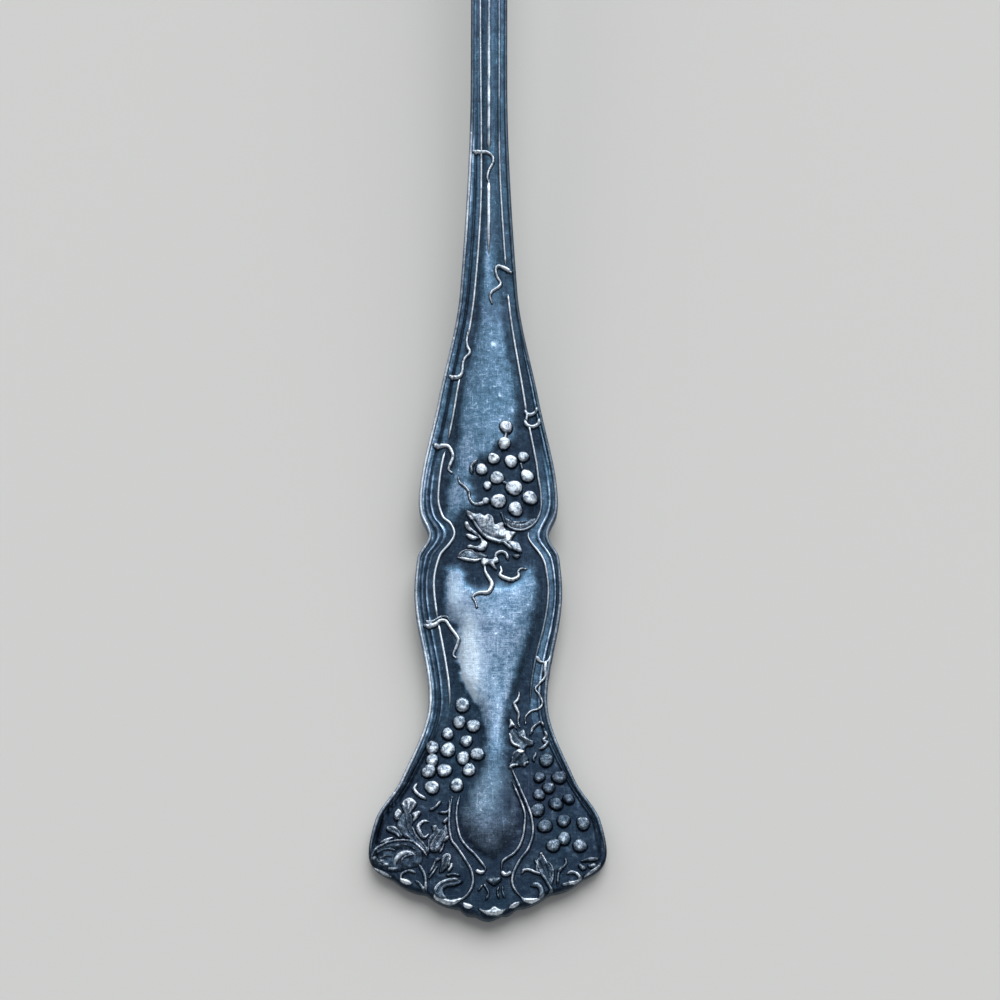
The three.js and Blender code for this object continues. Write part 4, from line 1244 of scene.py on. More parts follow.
RIGHT_GRAPES = [
    (5.8, 15.8, 0.74), (7.05, 14.05, 0.74), (5.1, 14.05, 0.6), (6, 12.95, 0.64), (5.05, 12.25, 0.62),
    (6.7, 11.35, 0.72), (7.95, 11.85, 0.6), (4.9, 10.7, 0.74), (7.45, 9.65, 0.7), (5.6, 9.1, 0.74),
    (9.35, 9.4, 0.72), (7.45, 7.85, 0.7), (6.4, 7.15, 0.7), (9, 7.15, 0.7),
]
UPPER_SHINE = 0.83
LEFT_SHINE = 0.66
right_shine = hermite([(7, 0.47), (9, 0.34), (12, 0.3), (16, 0.38)])

BUNCHES = {
    "bunch_upper": [
        *[berry(UPPER_SHINE, *grape) for grape in UPPER_GRAPES],
        ridge(0.85, 0.4, [
            (-3.1, 45.4), (-2.95, 44.8), (-2.4, 44.3), (-2, 43.7), (-1.9, 43), (-1.45, 42.45),
            (-0.7, 42.5), (-0.3, 42.75),
        ], fading_in),
        ridge(0.7, 0.3, [(1.85, 50.2), (1.75, 49.5)]),
        ridge(0.6, 0.3, [(3.35, 46.9), (3.5, 46.2)]),
        ridge(0.65, 0.3, [(1.5, 44.8), (2, 44.6)]),
        ridge(0.8, 0.32, [(-1.7, 45.7), (-1.75, 46.5), (-1.2, 47.15)]),
    ],
    "bunch_left": [
        *[berry(LEFT_SHINE, *grape) for grape in LEFT_GRAPES],
        ridge(0.85, 0.4, [(-7, 13.45), (-7.25, 12.85), (-6.85, 12.3), (-6.05, 11.8)]),
        ridge(0.7, 0.32, [(-5.75, 10.7), (-5.2, 10.95), (-4.6, 11.65)]),
        ridge(0.6, 0.3, [(-4.85, 10.45), (-4.15, 10.45), (-3.75, 10.75), (-3.8, 11.75)]),
    ],
    "bunch_right": [berry(right_shine(grape[1]), *grape) for grape in RIGHT_GRAPES],
}

# Upper leaf: the two halves beside its rib, the lobes below and the tendrils round it
MIDRIB = [(-1.9, 40.9), (-1.55, 40.6), (-0.9, 39.65), (-0.15, 38.8), (1.1, 38.35), (1.6, 38.4)]
LEAF_UPPER = [
    lobe(0.76, [
        (-2.2, 41.75), (-1.75, 41.55), (-1.25, 41.4), (-0.8, 41.45), (-0.4, 41.15), (-0.1, 41.35),
        (0.35, 41.2), (0.6, 40.8), (0.7, 40.25), (0.95, 40.35), (1.4, 40.5), (1.6, 40.35), (1.65, 39.9),
        (2.1, 39.6), (2.75, 39.5), (2.85, 39.35), (2.5, 38.9), (2.35, 38.55), (2, 38.25), *MIDRIB[::-1],
        (-2.05, 41), (-2.25, 41.4),
    ], edge=CRISP_EDGE, veins=[[(-1.8, 41.2), (-0.65, 39.6), (-0.2, 39.2), (1.1, 38.7), (1.6, 38.75)]]),
    lobe(0.72, [
        (1.95, 38.4), (2.85, 38.5), (3.25, 38.1), (3.45, 37.3), (2.6, 37.5), (2.25, 37.85),
    ], edge=CRISP_EDGE),
    ridge(0.95, 0.24, MIDRIB, height=RIB_HEIGHT),
    ridge(1.0, 0.3, [(1.5, 38.4), (1.95, 38.05), (2.4, 37.65)], height=RIB_HEIGHT),
    lobe(0.7, [
        (-1.9, 40.1), (-1.55, 39.75), (-1, 39.3), (-0.5, 38.7), (-0.05, 38.3), (-0.05, 38), (-0.35, 37.5),
        (-0.9, 37.5), (-0.8, 38.4), (-0.95, 38.8), (-1.9, 39.65),
    ], edge=CRISP_EDGE, height=0.36),
    lobe(0.9, [
        (-2.45, 40.5), (-2.05, 40.5), (-1.75, 39.6), (-2.05, 39.6), (-2.35, 39.95),
    ], edge=CRISP_EDGE),
    lobe(0.95, [
        (-2.35, 39.15), (-2, 39.25), (-1, 38.9), (-1, 38.65), (-1.6, 38.6), (-2, 38.75),
    ], edge=CRISP_EDGE),
    lobe(0.95, [
        (-2.2, 37.95), (-1.85, 38.1), (-1.5, 37.95), (-1.05, 37.95), (-0.5, 38.55), (-0.05, 38.25),
        (-0.05, 37.95), (-0.35, 37.45), (-0.9, 37.45), (-1.5, 37.65), (-2, 37.7),
    ], edge=CRISP_EDGE),
    lobe(0.42, [
        (-3.15, 36.8), (-2.8, 37.25), (-2.3, 37.55), (-1.7, 37.45), (-1.3, 37.2), (-0.5, 37.15),
        (-0.05, 36.95), (-0.35, 36.65), (-1.5, 36.4), (-2.65, 36.7),
    ], height=0.3),
    ridge(0.6, 0.22, [
        (-3.1, 36.85), (-2.8, 37.25), (-2.3, 37.5), (-1.7, 37.45), (-1.3, 37.15), (-0.5, 37.15),
    ]),
    ridge(0.95, 0.36, [(-3.15, 36.8), (-1.5, 36.4), (-0.65, 36.6)], crescent),
    lobe(0.9, [
        (-0.75, 36.2), (-0.5, 36.65), (0.4, 36.5), (0.75, 36.9), (1.1, 36.4), (0.95, 36.15), (0.65, 36),
        (0.9, 35.4), (0.45, 35.6), (0.05, 36), (-0.45, 35.75),
    ], edge=CRISP_EDGE),
    ridge(0.92, 0.36, [
        (0.9, 36.5), (0.75, 36.9), (0.9, 37.2), (1.25, 37.35), (1.6, 37.3), (1.9, 37.05), (2, 36.5),
    ]),
    lobe(0.7, [(2.45, 36.95), (2.9, 37.05), (3.3, 36.95), (3, 36.65), (2.65, 36.75)], edge=CRISP_EDGE),
    ridge(1.0, 0.5, [
        (-0.35, 35.75), (-0.25, 35.15), (0.35, 34), (0.2, 33.3), (-0.1, 32.95), (-0.8, 32.95),
        (-1.3, 32.8), (-1.55, 32.45), (-1.3, 32), (-1.15, 31.4),
    ], snaking),
    ridge(1.0, 0.48, [
        (1.25, 35.75), (1.35, 35.25), (1.25, 34.8), (2.2, 34.4), (2.75, 34.5), (3.1, 34.8), (3.05, 35.25),
        (3.3, 35.6), (3.85, 35.55),
    ], snaking),
    ridge(0.45, 0.24, [(1.25, 41.6), (1.5, 41), (1.6, 40.55), (1.9, 40.05)]),
    ridge(0.46, 0.7, [
        (1.75, 40.95), (2.1, 40.5), (2.7, 40.2), (3.4, 40.1), (4.1, 40.35), (4.8, 41),
    ], height=0.24),
    ridge(0.6, 0.2, [(1.95, 40.55), (3.1, 40.45), (3.8, 40.65)]),
]

# Right leaf and its tendrils
LEAF_RIGHT = [
    lobe(0.34, [
        (2.1, 18.7), (2.6, 19.05), (3, 18.7), (3.5, 18.95), (3.9, 18.15), (4.55, 17.65), (4.45, 17.2),
        (3.85, 17.1), (3.75, 16.5), (4.05, 15.9), (3.8, 15.3), (3.1, 15.1), (2.3, 15), (2.25, 15.55),
        (2.4, 16.25), (3.05, 16.95), (2.55, 17.35), (2.25, 17.9),
    ], height=0.32, veins=[
        [(2.6, 18.8), (3, 18.1), (3.7, 17.4)],
        [(2.6, 15.3), (3.1, 15.9), (3.5, 16.7)],
    ]),
    ridge(0.9, 0.36, [
        (3.1, 22.75), (3.1, 22.35), (2.9, 21.85), (2.65, 21.5), (3.05, 20.55), (3, 19.7), (3.15, 19.15),
    ], snaking),
    lobe(0.95, [
        (2.1, 19.9), (2.4, 19.85), (2.9, 18.95), (2.7, 18.95), (2.45, 19.2), (2.05, 18.95), (2.15, 19.45),
    ], edge=0.14),
    ridge(0.62, 0.3, [
        (4.15, 18.35), (4.35, 18.7), (4.45, 19.05), (5.15, 19.65), (5.4, 19.55), (5.55, 19.2),
    ]),
    ridge(0.72, 0.38, [
        (5.55, 18.75), (5.8, 18.5), (5.75, 18.15), (5.55, 17.8), (5.9, 17.55), (5.45, 17.05), (5.1, 16.9),
    ]),
    ridge(0.85, 0.3, [(2.1, 18.5), (2.25, 18.15), (2.35, 17.65), (2.6, 17.35), (3, 17.2), (3.3, 17)]),
    lobe(0.5, [
        (3.05, 18.15), (3.25, 18.5), (3.5, 18.95), (3.8, 18.5), (3.95, 18), (4.55, 17.7), (4.5, 17.25),
        (4.1, 17.3), (3.75, 17.75), (3.35, 17.9),
    ], edge=0.2),
    ridge(0.9, 0.24, [(3.35, 18.15), (3.6, 17.95), (4.2, 17.7)], height=RIB_HEIGHT),
    lobe(0.9, [
        (2.4, 16.25), (2.6, 16.6), (3.25, 16.9), (3.75, 16.5), (3.2, 16.3), (2.9, 16.4), (2.5, 16.1),
    ], edge=CRISP_EDGE),
    ridge(0.5, 0.24, [(2.35, 16.1), (2.45, 15.7), (2.35, 15.4), (2.1, 15.25)]),
    ridge(0.85, 0.32, [(2.15, 14.9), (2.35, 15.15), (2.7, 15.25), (3, 15.2)]),
    ridge(0.75, 0.32, [(3.55, 15.1), (3.7, 15.4), (4.05, 15.55)]),
    ridge(0.55, 0.26, [(4.75, 16.6), (4.7, 16.25), (4.5, 15.9), (4.6, 15.6)]),
]
LEAVES = {"leaf_upper": LEAF_UPPER, "leaf_right": LEAF_RIGHT}

# Lines that frame the field near the tip, and the scrolls below them
FRAME_LEFT = [
    ridge(0.64, 0.3, [
        (-2.75, 12.2), (-3.05, 10.7), (-3, 9.3), (-2.65, 7.9), (-1.95, 6.9), (-1.3, 6.3), (-0.35, 5.1),
        (-0.2, 4.75), (-0.4, 4.5),
    ]),
    ridge(0.87, 0.46, [(-0.3, 4.55), (-0.65, 4.45), (-1.15, 4.65)]),
]
FRAME_RIGHT = [
    ridge(0.67, 0.3, [
        (2.4, 13.6), (3.55, 10.7), (3.6, 9.15), (3.35, 7.7), (2.7, 6.5), (1.55, 5.65), (1.35, 5.1),
        (1.4, 4.5),
    ]),
    ridge(0.72, 0.48, [(1.4, 4.6), (1.55, 4.3), (1.9, 4.25), (2.3, 4.55)]),
]
VOLUTE_LEFT = [
    ridge(0.64, 0.32, [
        (-3.5, 12.05), (-3.75, 10.55), (-3.75, 8.85), (-3.5, 7.6), (-3, 6.95), (-1.8, 5.1), (-1.45, 4.1),
        (-1.45, 3.3), (-1.75, 2.55), (-2.25, 2), (-3, 1.6),
    ]),
    lobe(0.42, [
        (-5.2, 2.4), (-5.1, 2.9), (-4.8, 3.3), (-4.25, 3.65), (-3.5, 3.85), (-2.35, 3.6), (-3.1, 3.1),
        (-3.75, 3.05), (-4.2, 2.8), (-4.15, 2.3), (-3.85, 1.95), (-4.3, 1.7), (-4.9, 1.9),
    ], veins=[[(-4.85, 2.5), (-4.55, 3.1), (-3.85, 3.4), (-2.85, 3.5)]]),
    ridge(0.72, 0.26, [
        (-5.2, 2.4), (-5.05, 2.95), (-4.7, 3.35), (-4.15, 3.65), (-3.45, 3.8), (-2.8, 3.8),
    ]),
    ridge(0.95, 0.62, [(-2.35, 1.95), (-3.55, 1.55), (-4.9, 1.95), (-5.15, 2.4)], crescent),
    ridge(0.52, 0.24, [(-4, 4.15), (-3.35, 4.3), (-2.65, 4.15)]),
]
VOLUTE_RIGHT = [
    ridge(0.67, 0.32, [
        (2.3, 15), (3.95, 11.05), (4.35, 9.6), (4.4, 8.2), (3.95, 6.8), (3.35, 6), (2.8, 5.1),
        (2.45, 4.2), (2.4, 3.3), (2.8, 2.55), (3.45, 1.9),
    ]),
    ridge(0.86, 0.6, [(3.2, 2.05), (3.75, 1.75), (5.3, 1.7), (5.7, 2.05)], crescent),
    ridge(0.55, 0.36, [(5.3, 1.7), (5.75, 2), (6.15, 2.7), (5.95, 3.2), (5.5, 4), (5.1, 4.4)]),
    ridge(0.68, 0.34, [(5.25, 4.3), (4.55, 4.5), (4.15, 4.7), (3.55, 4.7), (3.3, 4.35)]),
    ridge(0.5, 0.55, [(4.25, 3.15), (4.75, 3.3), (5.15, 2.95), (5.25, 2.4), (5, 1.95)]),
]
TIP_LINES = {
    "frame_left": FRAME_LEFT,
    "frame_right": FRAME_RIGHT,
    "volute_left": VOLUTE_LEFT,
    "volute_right": VOLUTE_RIGHT,
}

# Spray at the left corner of the tip: a palm, a fan, a frond and a bud
FAN_EDGE = [
    (-11.35, 5.85), (-11.15, 6.5), (-10.65, 7.05), (-9.25, 7.6), (-7.6, 7.6), (-6.5, 6.85), (-5.85, 6),
]
PALM = [
    lobe(0.32, [
        (-8.4, 10.4), (-7.45, 10.25), (-7.35, 9.55), (-7.4, 8.8), (-7.05, 8.15), (-6.55, 7.6),
        (-5.95, 6.7), (-5.8, 6.1), (-6.3, 6.7), (-7.65, 7.75), (-8.25, 8.05), (-8.95, 9.05),
    ], height=0.34, veins=[
        [(-8.2, 10.45), (-8.05, 9.2), (-7.75, 8.4), (-7.05, 7.6)],
        [(-7.8, 10.4), (-7.65, 9.05), (-7.35, 8.3), (-6.75, 7.5)],
    ]),
    lobe(0.69, [
        (-7.85, 12.05), (-8.15, 11.9), (-8.45, 11.5), (-8.5, 11.1), (-7.85, 9.9), (-7.45, 10.6),
        (-7.1, 11), (-6.95, 11.45), (-7.45, 11.95),
    ], veins=[[(-8.05, 11.4), (-7.95, 10.6), (-7.8, 9.9)], [(-7.45, 11.3), (-7.65, 10.6), (-7.7, 10)]]),
    lobe(0.72, [(-8.75, 10.9), (-9.1, 10.6), (-9.25, 10.15), (-9.15, 9.75), (-8.9, 9.65), (-8.4, 10.4)]),
    lobe(0.79, [
        (-6.9, 10.65), (-6.55, 10.55), (-6.65, 10.15), (-7.25, 9.5), (-7.4, 9.55), (-7.3, 9.95),
        (-7.45, 10.35),
    ]),
    lobe(0.52, [
        (-9.95, 9), (-9.45, 9.2), (-8.95, 9.05), (-8.3, 8.15), (-8.65, 7.9), (-9.1, 8.25), (-9.8, 8.6),
    ], veins=[[(-9.7, 8.9), (-9.05, 8.6), (-8.6, 8.1)]]),
    ridge(0.62, 0.26, [(-7.4, 9.05), (-7, 8.1), (-6.2, 7.2), (-5.8, 6.45)]),
    ridge(0.52, 0.22, [(-8, 8.3), (-7.6, 7.85), (-7.05, 7.3)]),
]
FAN = [
    lobe(0.15, [
        *FAN_EDGE[:-1], (-6.35, 5.75), (-6.6, 5.2), (-7.55, 4.9), (-8.45, 4.65), (-9.3, 4.55),
        (-10.1, 4.8), (-10.8, 5.2), (-11.25, 5.55),
    ], height=0.16, edge=0.5),
    ridge(0.68, 0.26, FAN_EDGE),
    ridge(0.42, 0.26, [(-10.95, 6.35), (-10.2, 6.75), (-9.5, 6.8), (-8.9, 6.6)]),
    ridge(0.38, 0.24, [(-10.6, 5.85), (-9.9, 6.15), (-9.3, 6.1)]),
    ridge(0.46, 0.22, [(-9.1, 7.1), (-8.25, 7.25), (-7.5, 7.05), (-7, 6.6)]),
    ridge(0.78, 0.6, [
        (-9.05, 5.1), (-8.95, 5.7), (-8.6, 6.2), (-8.05, 6.45), (-7.55, 6.45), (-7.1, 6.2),
    ], crescent),
    ridge(0.48, 0.26, [(-8.45, 5.55), (-8.15, 5.95), (-7.7, 6.15), (-7.25, 6.2)]),
    ridge(0.83, 0.36, [(-10.55, 7.45), (-10, 7.7), (-9.2, 8)], crescent),
    ridge(0.77, 0.28, [(-10.3, 7.25), (-9.65, 7.55), (-9.35, 7.65)], crescent),
    ridge(0.72, 0.4, [(-11.3, 5.9), (-11.05, 5.95), (-10.8, 6.05)], crescent),
    ridge(0.72, 0.36, [(-10.75, 5.55), (-10.45, 5.65), (-10.1, 5.65)], crescent),
    ridge(0.72, 0.34, [(-10.2, 5.2), (-9.95, 5.3), (-9.6, 5.25)], crescent),
    ridge(0.84, 0.32, [(-9.7, 4.9), (-9.25, 4.85), (-8.75, 4.9)], crescent),
    ridge(0.9, 0.34, [(-11.35, 5.35), (-10.95, 4.85), (-9.35, 4.1)], crescent),
]
FROND = [
    lobe(0.42, [
        (-4.1, 9.25), (-3.85, 8.25), (-4.4, 7.3), (-4.65, 6.6), (-5.45, 6.45), (-5.8, 7.1), (-5.75, 7.8),
        (-5.35, 8.4), (-5.55, 9.05), (-5.1, 9.25), (-4.65, 8.8),
    ], height=0.32, veins=[
        [(-5, 8.8), (-5.15, 8.1), (-5.5, 7.4), (-5.6, 6.7)],
        [(-4.4, 8.7), (-4.75, 7.9), (-5.2, 7.2), (-5.2, 6.6)],
    ]),
    ridge(0.54, 0.22, [(-4.7, 8.55), (-5.5, 7.15), (-5.45, 6.5)]),
    ridge(0.54, 0.22, [(-5.3, 8.3), (-5.7, 7.7), (-5.8, 7.1), (-5.75, 6.35)]),
    ridge(0.54, 0.22, [(-4, 8.85), (-4.5, 7.9), (-4.8, 7.55)]),
    lobe(0.72, [(-3.9, 10), (-4.3, 9.75), (-4.45, 9.4), (-4.1, 9.3), (-3.85, 9.65)]),
    lobe(0.84, [(-3.8, 8.15), (-4.2, 7.9), (-4.4, 7.3), (-4.15, 7.45), (-3.8, 7.8)]),
    ridge(0.57, 0.24, [(-4.25, 7.35), (-4.45, 6.75), (-4.7, 6.4)]),
    lobe(0.56, [(-5.15, 7.05), (-4.75, 7.1), (-4.65, 6.75), (-5, 6.5), (-5.25, 6.7)]),
    ridge(0.79, 0.5, [
        (-5.75, 9.5), (-6.25, 9.6), (-6.65, 9.3), (-6.8, 8.8), (-6.25, 7.95), (-5.75, 8.3),
    ], crescent),
]
BUD = [
    lobe(0.46, [
        (-4.7, 4.45), (-4.6, 5.15), (-4.55, 5.7), (-4.2, 6.15), (-3.85, 6.25), (-3.65, 5.95),
        (-3.9, 4.95), (-4.25, 4.55),
    ], veins=[[(-4.55, 4.45), (-4.25, 5.05), (-3.95, 5.9)]]),
    ridge(0.62, 0.24, [(-4.5, 5.75), (-4.2, 6.15), (-3.85, 6.25), (-3.65, 5.95), (-3.85, 5)]),
    ridge(0.6, 0.4, [(-5.7, 4.4), (-5.3, 5.05), (-5.05, 5.65), (-4.7, 5.8)], fading_in),
    ridge(0.75, 0.34, [(-3.5, 5.4), (-3.55, 5), (-3.85, 4.55)]),
    ridge(0.62, 0.24, [(-5.7, 3.9), (-5.25, 4.5), (-4.85, 5.1)]),
    ridge(0.62, 0.26, [(-8.45, 3.85), (-8.35, 4.3), (-7.9, 4.6), (-7.45, 4.65), (-7, 4.45)]),
    ridge(0.95, 0.55, [(-8.45, 4), (-8.3, 3.75), (-7.35, 3.4)], crescent),
    ridge(0.64, 0.36, [(-6.65, 5.25), (-6.1, 4.2), (-5.95, 2.75)]),
    ridge(0.57, 0.28, [(-7, 3.65), (-6.65, 3.45), (-6.1, 2.75)]),
]

# Spray at the right corner
ACANTHUS_RIGHT = [
    lobe(0.28, [
        (5.2, 6.35), (5.55, 5.8), (6.35, 4.7), (6.1, 3.1), (5.65, 3.75), (5.15, 4.45), (4.85, 5.55),
    ], height=0.34, veins=[[(5.3, 6), (5.65, 5), (5.95, 3.8)], [(5.1, 5.4), (5.45, 4.6), (5.85, 3.7)]]),
    ridge(0.72, 0.42, [(5.15, 6.4), (5.45, 5.95), (5.75, 5.45)], running_out),
    ridge(0.52, 0.22, [(5.05, 6), (4.85, 5.45), (5.15, 4.45), (6.05, 3.1)]),
    ridge(0.57, 0.26, [(5.7, 5.6), (6.1, 5.25), (6.35, 4.7), (6.3, 3.85), (6.1, 3.2)]),
    ridge(0.6, 0.26, [(4.55, 5.7), (4.8, 5.3), (4.75, 4.8), (4.95, 4.5)]),
    ridge(0.55, 0.26, [(7.5, 6), (7.65, 5.45), (7.35, 5), (6.95, 4.65), (6.75, 3.2)]),
    lobe(0.6, [(6.75, 4.7), (7.05, 5.05), (7.35, 5), (7.15, 4.55), (6.85, 4.4)]),
    ridge(0.68, 0.36, [
        (7.7, 4.35), (8.15, 4.55), (8.65, 4.4), (8.95, 4.05), (8.85, 3.65), (8.15, 3.5), (7.85, 3.65),
    ]),
    ridge(0.63, 0.3, [(7.2, 3.25), (7.75, 3.4), (8.3, 3.5)]),
    lobe(0.55, [(9.05, 5.55), (9.5, 5.9), (10.1, 6.05), (10.75, 5.95), (10.5, 5.65)]),
    lobe(0.57, [(8.8, 5.3), (9.15, 5.35), (9.55, 5.05), (9.55, 4.8), (9.2, 4.7), (8.85, 5)]),
    lobe(0.5, [(9.7, 5.25), (10.3, 5.45), (10.65, 5.3), (10.4, 4.9), (9.9, 4.95)]),
    ridge(0.72, 0.3, [(9.4, 4.1), (10.75, 5.1), (10.95, 5.5)], crescent),
]

# Shell and beads at the end of the handle
TIP_SHELL = [
    lobe(1.2, [
        (-0.95, 0.95), (-0.3, 0.75), (0.2, 0.85), (0.65, 1.15), (1.35, 0.8), (1.85, 0.95), (1.5, 0.55),
        (0.95, 0.25), (0.15, 0.25), (-0.45, 0.5),
    ], height=0.6),
    ridge(1.0, 0.56, [(-2.35, 1.5), (-2, 1.2), (-1.4, 1.1)], crescent),
    ridge(1.0, 0.5, [(2.1, 1), (2.55, 1.25), (3.1, 1.55)], crescent),
    lobe(0.48, [(-0.15, 3.8), (0.6, 4), (1.3, 3.95), (1.25, 3.55), (0.65, 3.15), (0.05, 3.5)]),
    ridge(0.48, 0.24, [(-0.4, 3.4), (0.1, 2.4), (-0.2, 1.75)]),
    ridge(0.42, 0.22, [(-0.9, 2.65), (-0.5, 3.2)]),
    ridge(0.44, 0.22, [(1.1, 3.1), (0.95, 2.55), (1.1, 1.9)]),
    ridge(0.38, 0.22, [(1.5, 3.2), (1.45, 2.6), (1.65, 2)]),
]
TIP_ORNAMENT = {
    "acanthus_left": PALM + FAN + FROND + BUD,
    "acanthus_right": ACANTHUS_RIGHT,
    "tip_shell": TIP_SHELL,
}

# Tendrils that wrap over the threads, and the clasp on the right thread
TENDRILS = {
    "tendril_stem_left": [
        vine(0.5, [
            (-1.7, 81.75), (-1.05, 81.6), (-0.3, 81.55), (0.3, 81.15), (0.5, 80.6), (0.35, 80.05),
            (0.05, 79.5), (-0.15, 78.6), (0.05, 77.9),
        ]),
    ],
    "tendril_stem_right": [
        vine(0.5, [
            (2.35, 68), (1.75, 68.4), (1.1, 68.6), (0.75, 68.2), (0.9, 67.4), (1.3, 66.7), (1, 66.2),
            (0.35, 65.7), (0.15, 65.1), (0.35, 64.4),
        ]),
    ],
    "tendril_taper_left": [
        vine(0.54, [
            (-4.05, 56.55), (-3.5, 56.35), (-3, 56.55), (-2.75, 57.05), (-2.7, 57.85), (-2.5, 58.45),
            (-2.05, 58.95), (-2, 59.3), (-2.2, 59.7), (-2.3, 60.35), (-2.2, 61.3),
        ]),
    ],
    "tendril_shoulder_left": [
        vine(0.66, [
            (-5.6, 49.15), (-5.25, 48.9), (-4.2, 48.9), (-3.7, 47.8), (-4.05, 46.7), (-4.1, 46.3),
            (-3.8, 45.95),
        ]),
    ],
    "clasp_right": [
        ridge(1.0, 0.4, [(3.8, 52.8), (4.05, 52.4), (4.6, 52.4), (4.95, 52.7), (5.05, 53.1)]),
        ridge(1.0, 0.42, [(3.75, 51.7), (4.05, 51.15), (4.7, 51.05), (5.2, 51.4), (5.3, 51.9)]),
        ridge(1.0, 0.3, [(4.05, 52.5), (3.95, 51.6)]),
    ],
    "tendril_hip_left": [
        vine(0.6, [
            (-6.4, 29.75), (-5.95, 29.65), (-5.35, 29.85), (-4.8, 30.25), (-4.25, 30.15), (-3.9, 29.6),
            (-3.15, 28.5), (-3.05, 27.9), (-3.5, 26.7), (-3.25, 26.3),
        ]),
        vine(0.34, [(-6.3, 30.2), (-5.8, 30.1), (-4.85, 30.6), (-4.2, 30.6), (-3.85, 30.05)]),
    ],
    "tendril_waist_right": [
        vine(0.46, [
            (4.9, 26.45), (5.15, 26.05), (5.55, 25.85), (5.95, 25.95), (6.2, 26.3), (6.25, 26.7),
        ]),
        vine(0.4, [
            (5.85, 26), (5.75, 25.2), (5.75, 24.4), (5.1, 23.6), (4.75, 23.1), (5.2, 22.4), (5.45, 21.7),
            (5.15, 21.1), (4.3, 20.8), (3.75, 20.2), (3.75, 19.5),
        ]),
    ],
}


def raise_all(pieces, finish, slot, margin=MARGIN):
    for node, forms in pieces.items():
        raise_piece(node, forms, finish, slot, margin)


# Bowl

BOWL_AROUND = 160
BOWL_DOWN = 44
BOWL_DROPS = (0.985, 0.04)
LIP_STEPS = 9
LIP_ROUND = 0.25
BOWL_WEAR = 0.72
BOWL_SHARP = 40
SLOT_COUNT = 8
SLOT_LENGTH = 6.6
SLOT_WIDTH = 2.4
SLOT_STEPS = 17
SLOT_RING = 0.5
HOLE_RADIUS = 0.9
HOLE_STEPS = 32
HOLE_RING = 0.79
HEEL = -0.9


def egg(turn, drop, grow):
    """A ring on the egg, at a drop from 0 at the rim to 1 at the bottom."""
    down = drop * math.pi / 2
    x, y = math.cos(down) * np.sin(turn), math.cos(down) * np.cos(turn)
    across = x * (BOWL_HALF_WIDTH + grow) * (1 - BOWL_POINTING * y)
    z = RIM_Z - math.sin(down) * (BOWL_DEPTH + grow)
    return place(across, BOWL_AT + y * (BOWL_HALF_LENGTH + grow), np.full(len(turn), max(0, z)))


def build_bowl():
    turn = np.linspace(0, 2 * math.pi, BOWL_AROUND, endpoint=False)
    outer, inner = egg(turn, 0, 0), egg(turn, 0, -BOWL_WALL)
    rings = [egg(turn, drop, 0) for drop in np.linspace(*BOWL_DROPS, BOWL_DOWN)]
    for angle in np.linspace(0, math.pi, LIP_STEPS):
        ring = (outer + inner) / 2 + (outer - inner) / 2 * math.cos(angle)
        ring[:, 2] = RIM_Z - LIP_ROUND * (1 - math.sin(angle))
        rings.append(ring)
    rings += [egg(turn, drop, -BOWL_WALL) for drop in np.linspace(*BOWL_DROPS[::-1], BOWL_DOWN)]
    places = np.vstack(rings)
    faces = tube_faces(len(rings), BOWL_AROUND)
    wear = np.full(len(places), BOWL_WEAR)
    pierce(add_piece("bowl", places, faces, wear, bowl_silver, "bowl_plate", BOWL_SHARP))


def on_ring(turn, ring):
    """A place on a ring of openings, from the middle of the bowl."""
    return math.sin(turn) * ring * BOWL_HALF_WIDTH, math.cos(turn) * ring * BOWL_HALF_LENGTH


def slot_outline(turn):
    """A pointed slot along the way out from the middle."""
    x, y = on_ring(turn, SLOT_RING)
    lean = math.atan2(-x, y)
    side = bezier([(0, -SLOT_LENGTH / 2), (SLOT_WIDTH, 0), (0, SLOT_LENGTH / 2)], SLOT_STEPS)
    outline = np.vstack([side[:-1], (-side)[:-1]])
    turned = [[math.cos(lean), math.sin(lean)], [-math.sin(lean), math.cos(lean)]]
    return outline @ np.array(turned) + (x, BOWL_AT + y)


def hole_outline(turn):
    x, y = on_ring(turn, HOLE_RING)
    angles = np.linspace(0, 2 * math.pi, HOLE_STEPS, endpoint=False)
    return HOLE_RADIUS * np.column_stack([np.cos(angles), np.sin(angles)]) + (x, BOWL_AT + y)


def add_prism(shape, outline):
    """An upright prism that passes through the bowl."""
    low, high = [
        [shape.verts.new((x * MM, (at - LENGTH / 2) * MM, z * MM)) for x, at in outline]
        for z in (-2 * BOWL_DEPTH, 2 * BOWL_DEPTH)
    ]
    shape.faces.new(low)
    shape.faces.new(high)
    for i in range(len(low)):
        shape.faces.new((low[i - 1], low[i], high[i], high[i - 1]))


def pierce(bowl):
    """Cuts the ring of pointed slots and the ring of round holes, with no hole over the tongue."""
    shape = bmesh.new()
    for i in range(SLOT_COUNT):
        add_prism(shape, slot_outline(2 * math.pi * (i + 0.5) / SLOT_COUNT))
        turn = 2 * math.pi * i / SLOT_COUNT
        if math.cos(turn) > HEEL:
            add_prism(shape, hole_outline(turn))
    mesh = bpy.data.meshes.new("piercing")
    fill_mesh(mesh, shape)
    cutter = add_object("piercing", mesh)
    cut = bowl.modifiers.new("piercing", "BOOLEAN")
    cut.object = cutter
    cut.operation = "DIFFERENCE"
    cut.solver = "EXACT"
    graph = bpy.context.evaluated_depsgraph_get()
    pierced = bpy.data.meshes.new_from_object(bowl.evaluated_get(graph))
    bowl.modifiers.clear()
    bowl.data = pierced
    shade_smooth(pierced, BOWL_SHARP)
    bpy.data.objects.remove(cutter)


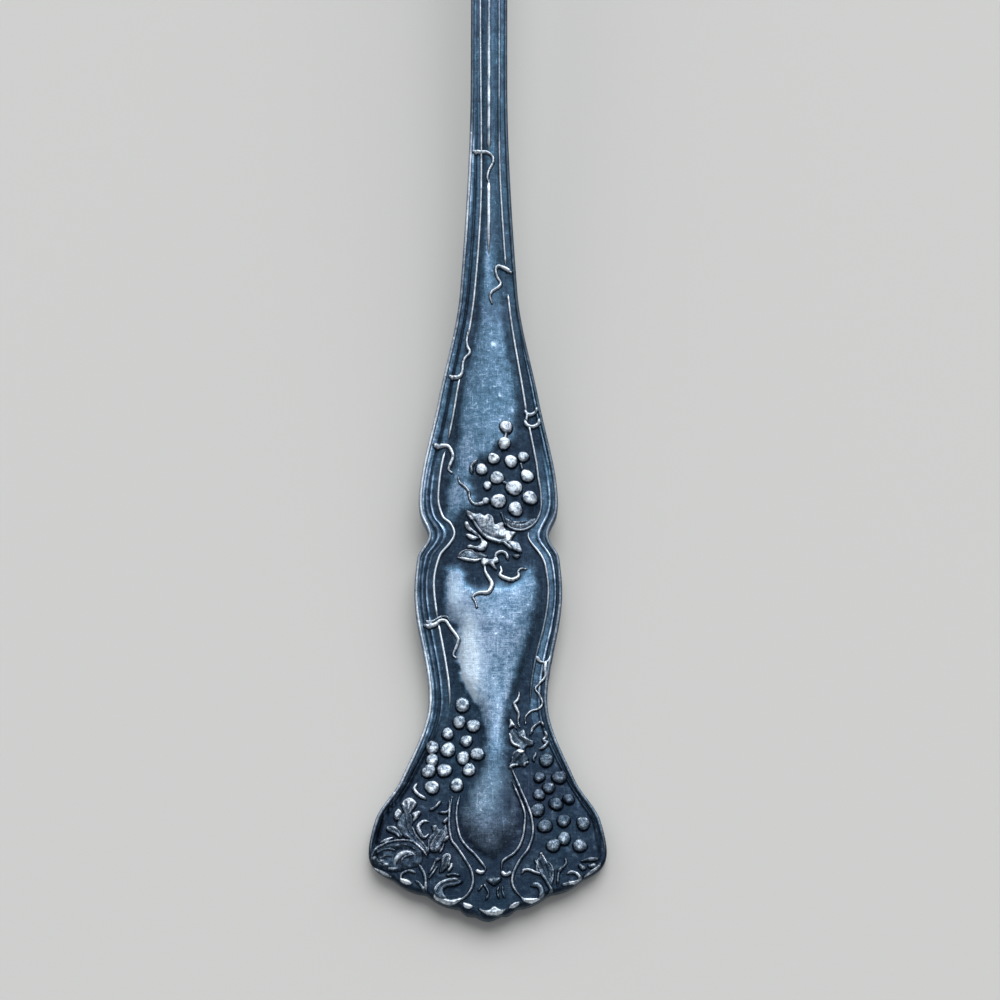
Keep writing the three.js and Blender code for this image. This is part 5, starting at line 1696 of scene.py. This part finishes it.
build_shank()
build_lines()
raise_all(BUNCHES, ornament_silver, "ornament_plate", BUNCH_MARGIN)
raise_all(TENDRILS, ornament_silver, "ornament_plate")
raise_all(LEAVES, ornament_silver, "ornament_plate")
raise_all(TIP_LINES, border_silver, "border_plate")
raise_all(TIP_ORNAMENT, ornament_silver, "ornament_plate")
build_bowl()

# Floor, light and camera

FLOOR_SIZE = 12.0
FLOOR_COLOUR = (0.59, 0.577, 0.55, 1)
FLOOR_ROUGHNESS = 0.8
SKY_COLOUR = (0.27, 0.281, 0.297, 1)
WINDOW_COLOUR = (0.95, 0.98, 1.0)
CAMERA_ELEVATION = 67
CAMERA_DISTANCE = 0.230
CAMERA_TARGET = (0.0012, -0.061945, 0.003728)
HALF_VIEW = 12.644
SENSOR_WIDTH = 36
NEAREST_SEEN = 0.01

# Windows: their name, the way to them, their spread in degrees and their strength
WINDOWS = [
    ("window_back", (0.05, 0.3, 0.38), 46, 2.2),
    ("window_right", (0.3, 0.35, 0.22), 36, 0.85),
    ("window_left", (-0.3, 0.35, 0.22), 36, 0.75),
    ("window_front", (-0.2, -0.3, 0.35), 50, 0.15),
]


def add_floor():
    half = FLOOR_SIZE / 2
    mesh = bpy.data.meshes.new("floor")
    corners = [(-half, -half, 0), (half, -half, 0), (half, half, 0), (-half, half, 0)]
    mesh.from_pydata(corners, [], [(0, 1, 2, 3)])
    floor = add_object("floor", mesh)
    material = bpy.data.materials.new("pale_floor")
    material.use_nodes = True
    shader = material.node_tree.nodes["Principled BSDF"]
    shader.inputs["Base Color"].default_value = FLOOR_COLOUR
    shader.inputs["Roughness"].default_value = FLOOR_ROUGHNESS
    mesh.materials.append(material)


def add_world():
    world = bpy.data.worlds.new("studio")
    world.use_nodes = True
    world.node_tree.nodes["Background"].inputs["Color"].default_value = SKY_COLOUR
    bpy.context.scene.world = world


def add_light(name, where, spread, power):
    """A soft source far away in the direction given."""
    light = bpy.data.lights.new(name, "SUN")
    light.energy = power
    light.angle = math.radians(spread)
    light.color = WINDOW_COLOUR
    lamp = add_object(name, light)
    lamp.location = where
    flat = math.hypot(where[0], where[1])
    lamp.rotation_euler = (math.atan2(flat, where[2]), 0, math.atan2(where[0], -where[1]))


def add_camera():
    lens = bpy.data.cameras.new("camera")
    lens.sensor_width = SENSOR_WIDTH
    lens.lens = SENSOR_WIDTH / 2 / math.tan(math.radians(HALF_VIEW))
    lens.clip_start = NEAREST_SEEN
    camera = add_object("camera", lens)
    lean = math.radians(CAMERA_ELEVATION)
    back = np.array([0, -math.cos(lean), math.sin(lean)])
    camera.location = np.array(CAMERA_TARGET) + back * CAMERA_DISTANCE
    camera.rotation_euler = (math.pi / 2 - lean, 0, 0)
    bpy.context.scene.camera = camera


add_floor()
add_world()
for window in WINDOWS:
    add_light(*window)
add_camera()
bpy.context.scene.view_settings.view_transform = "Standard"
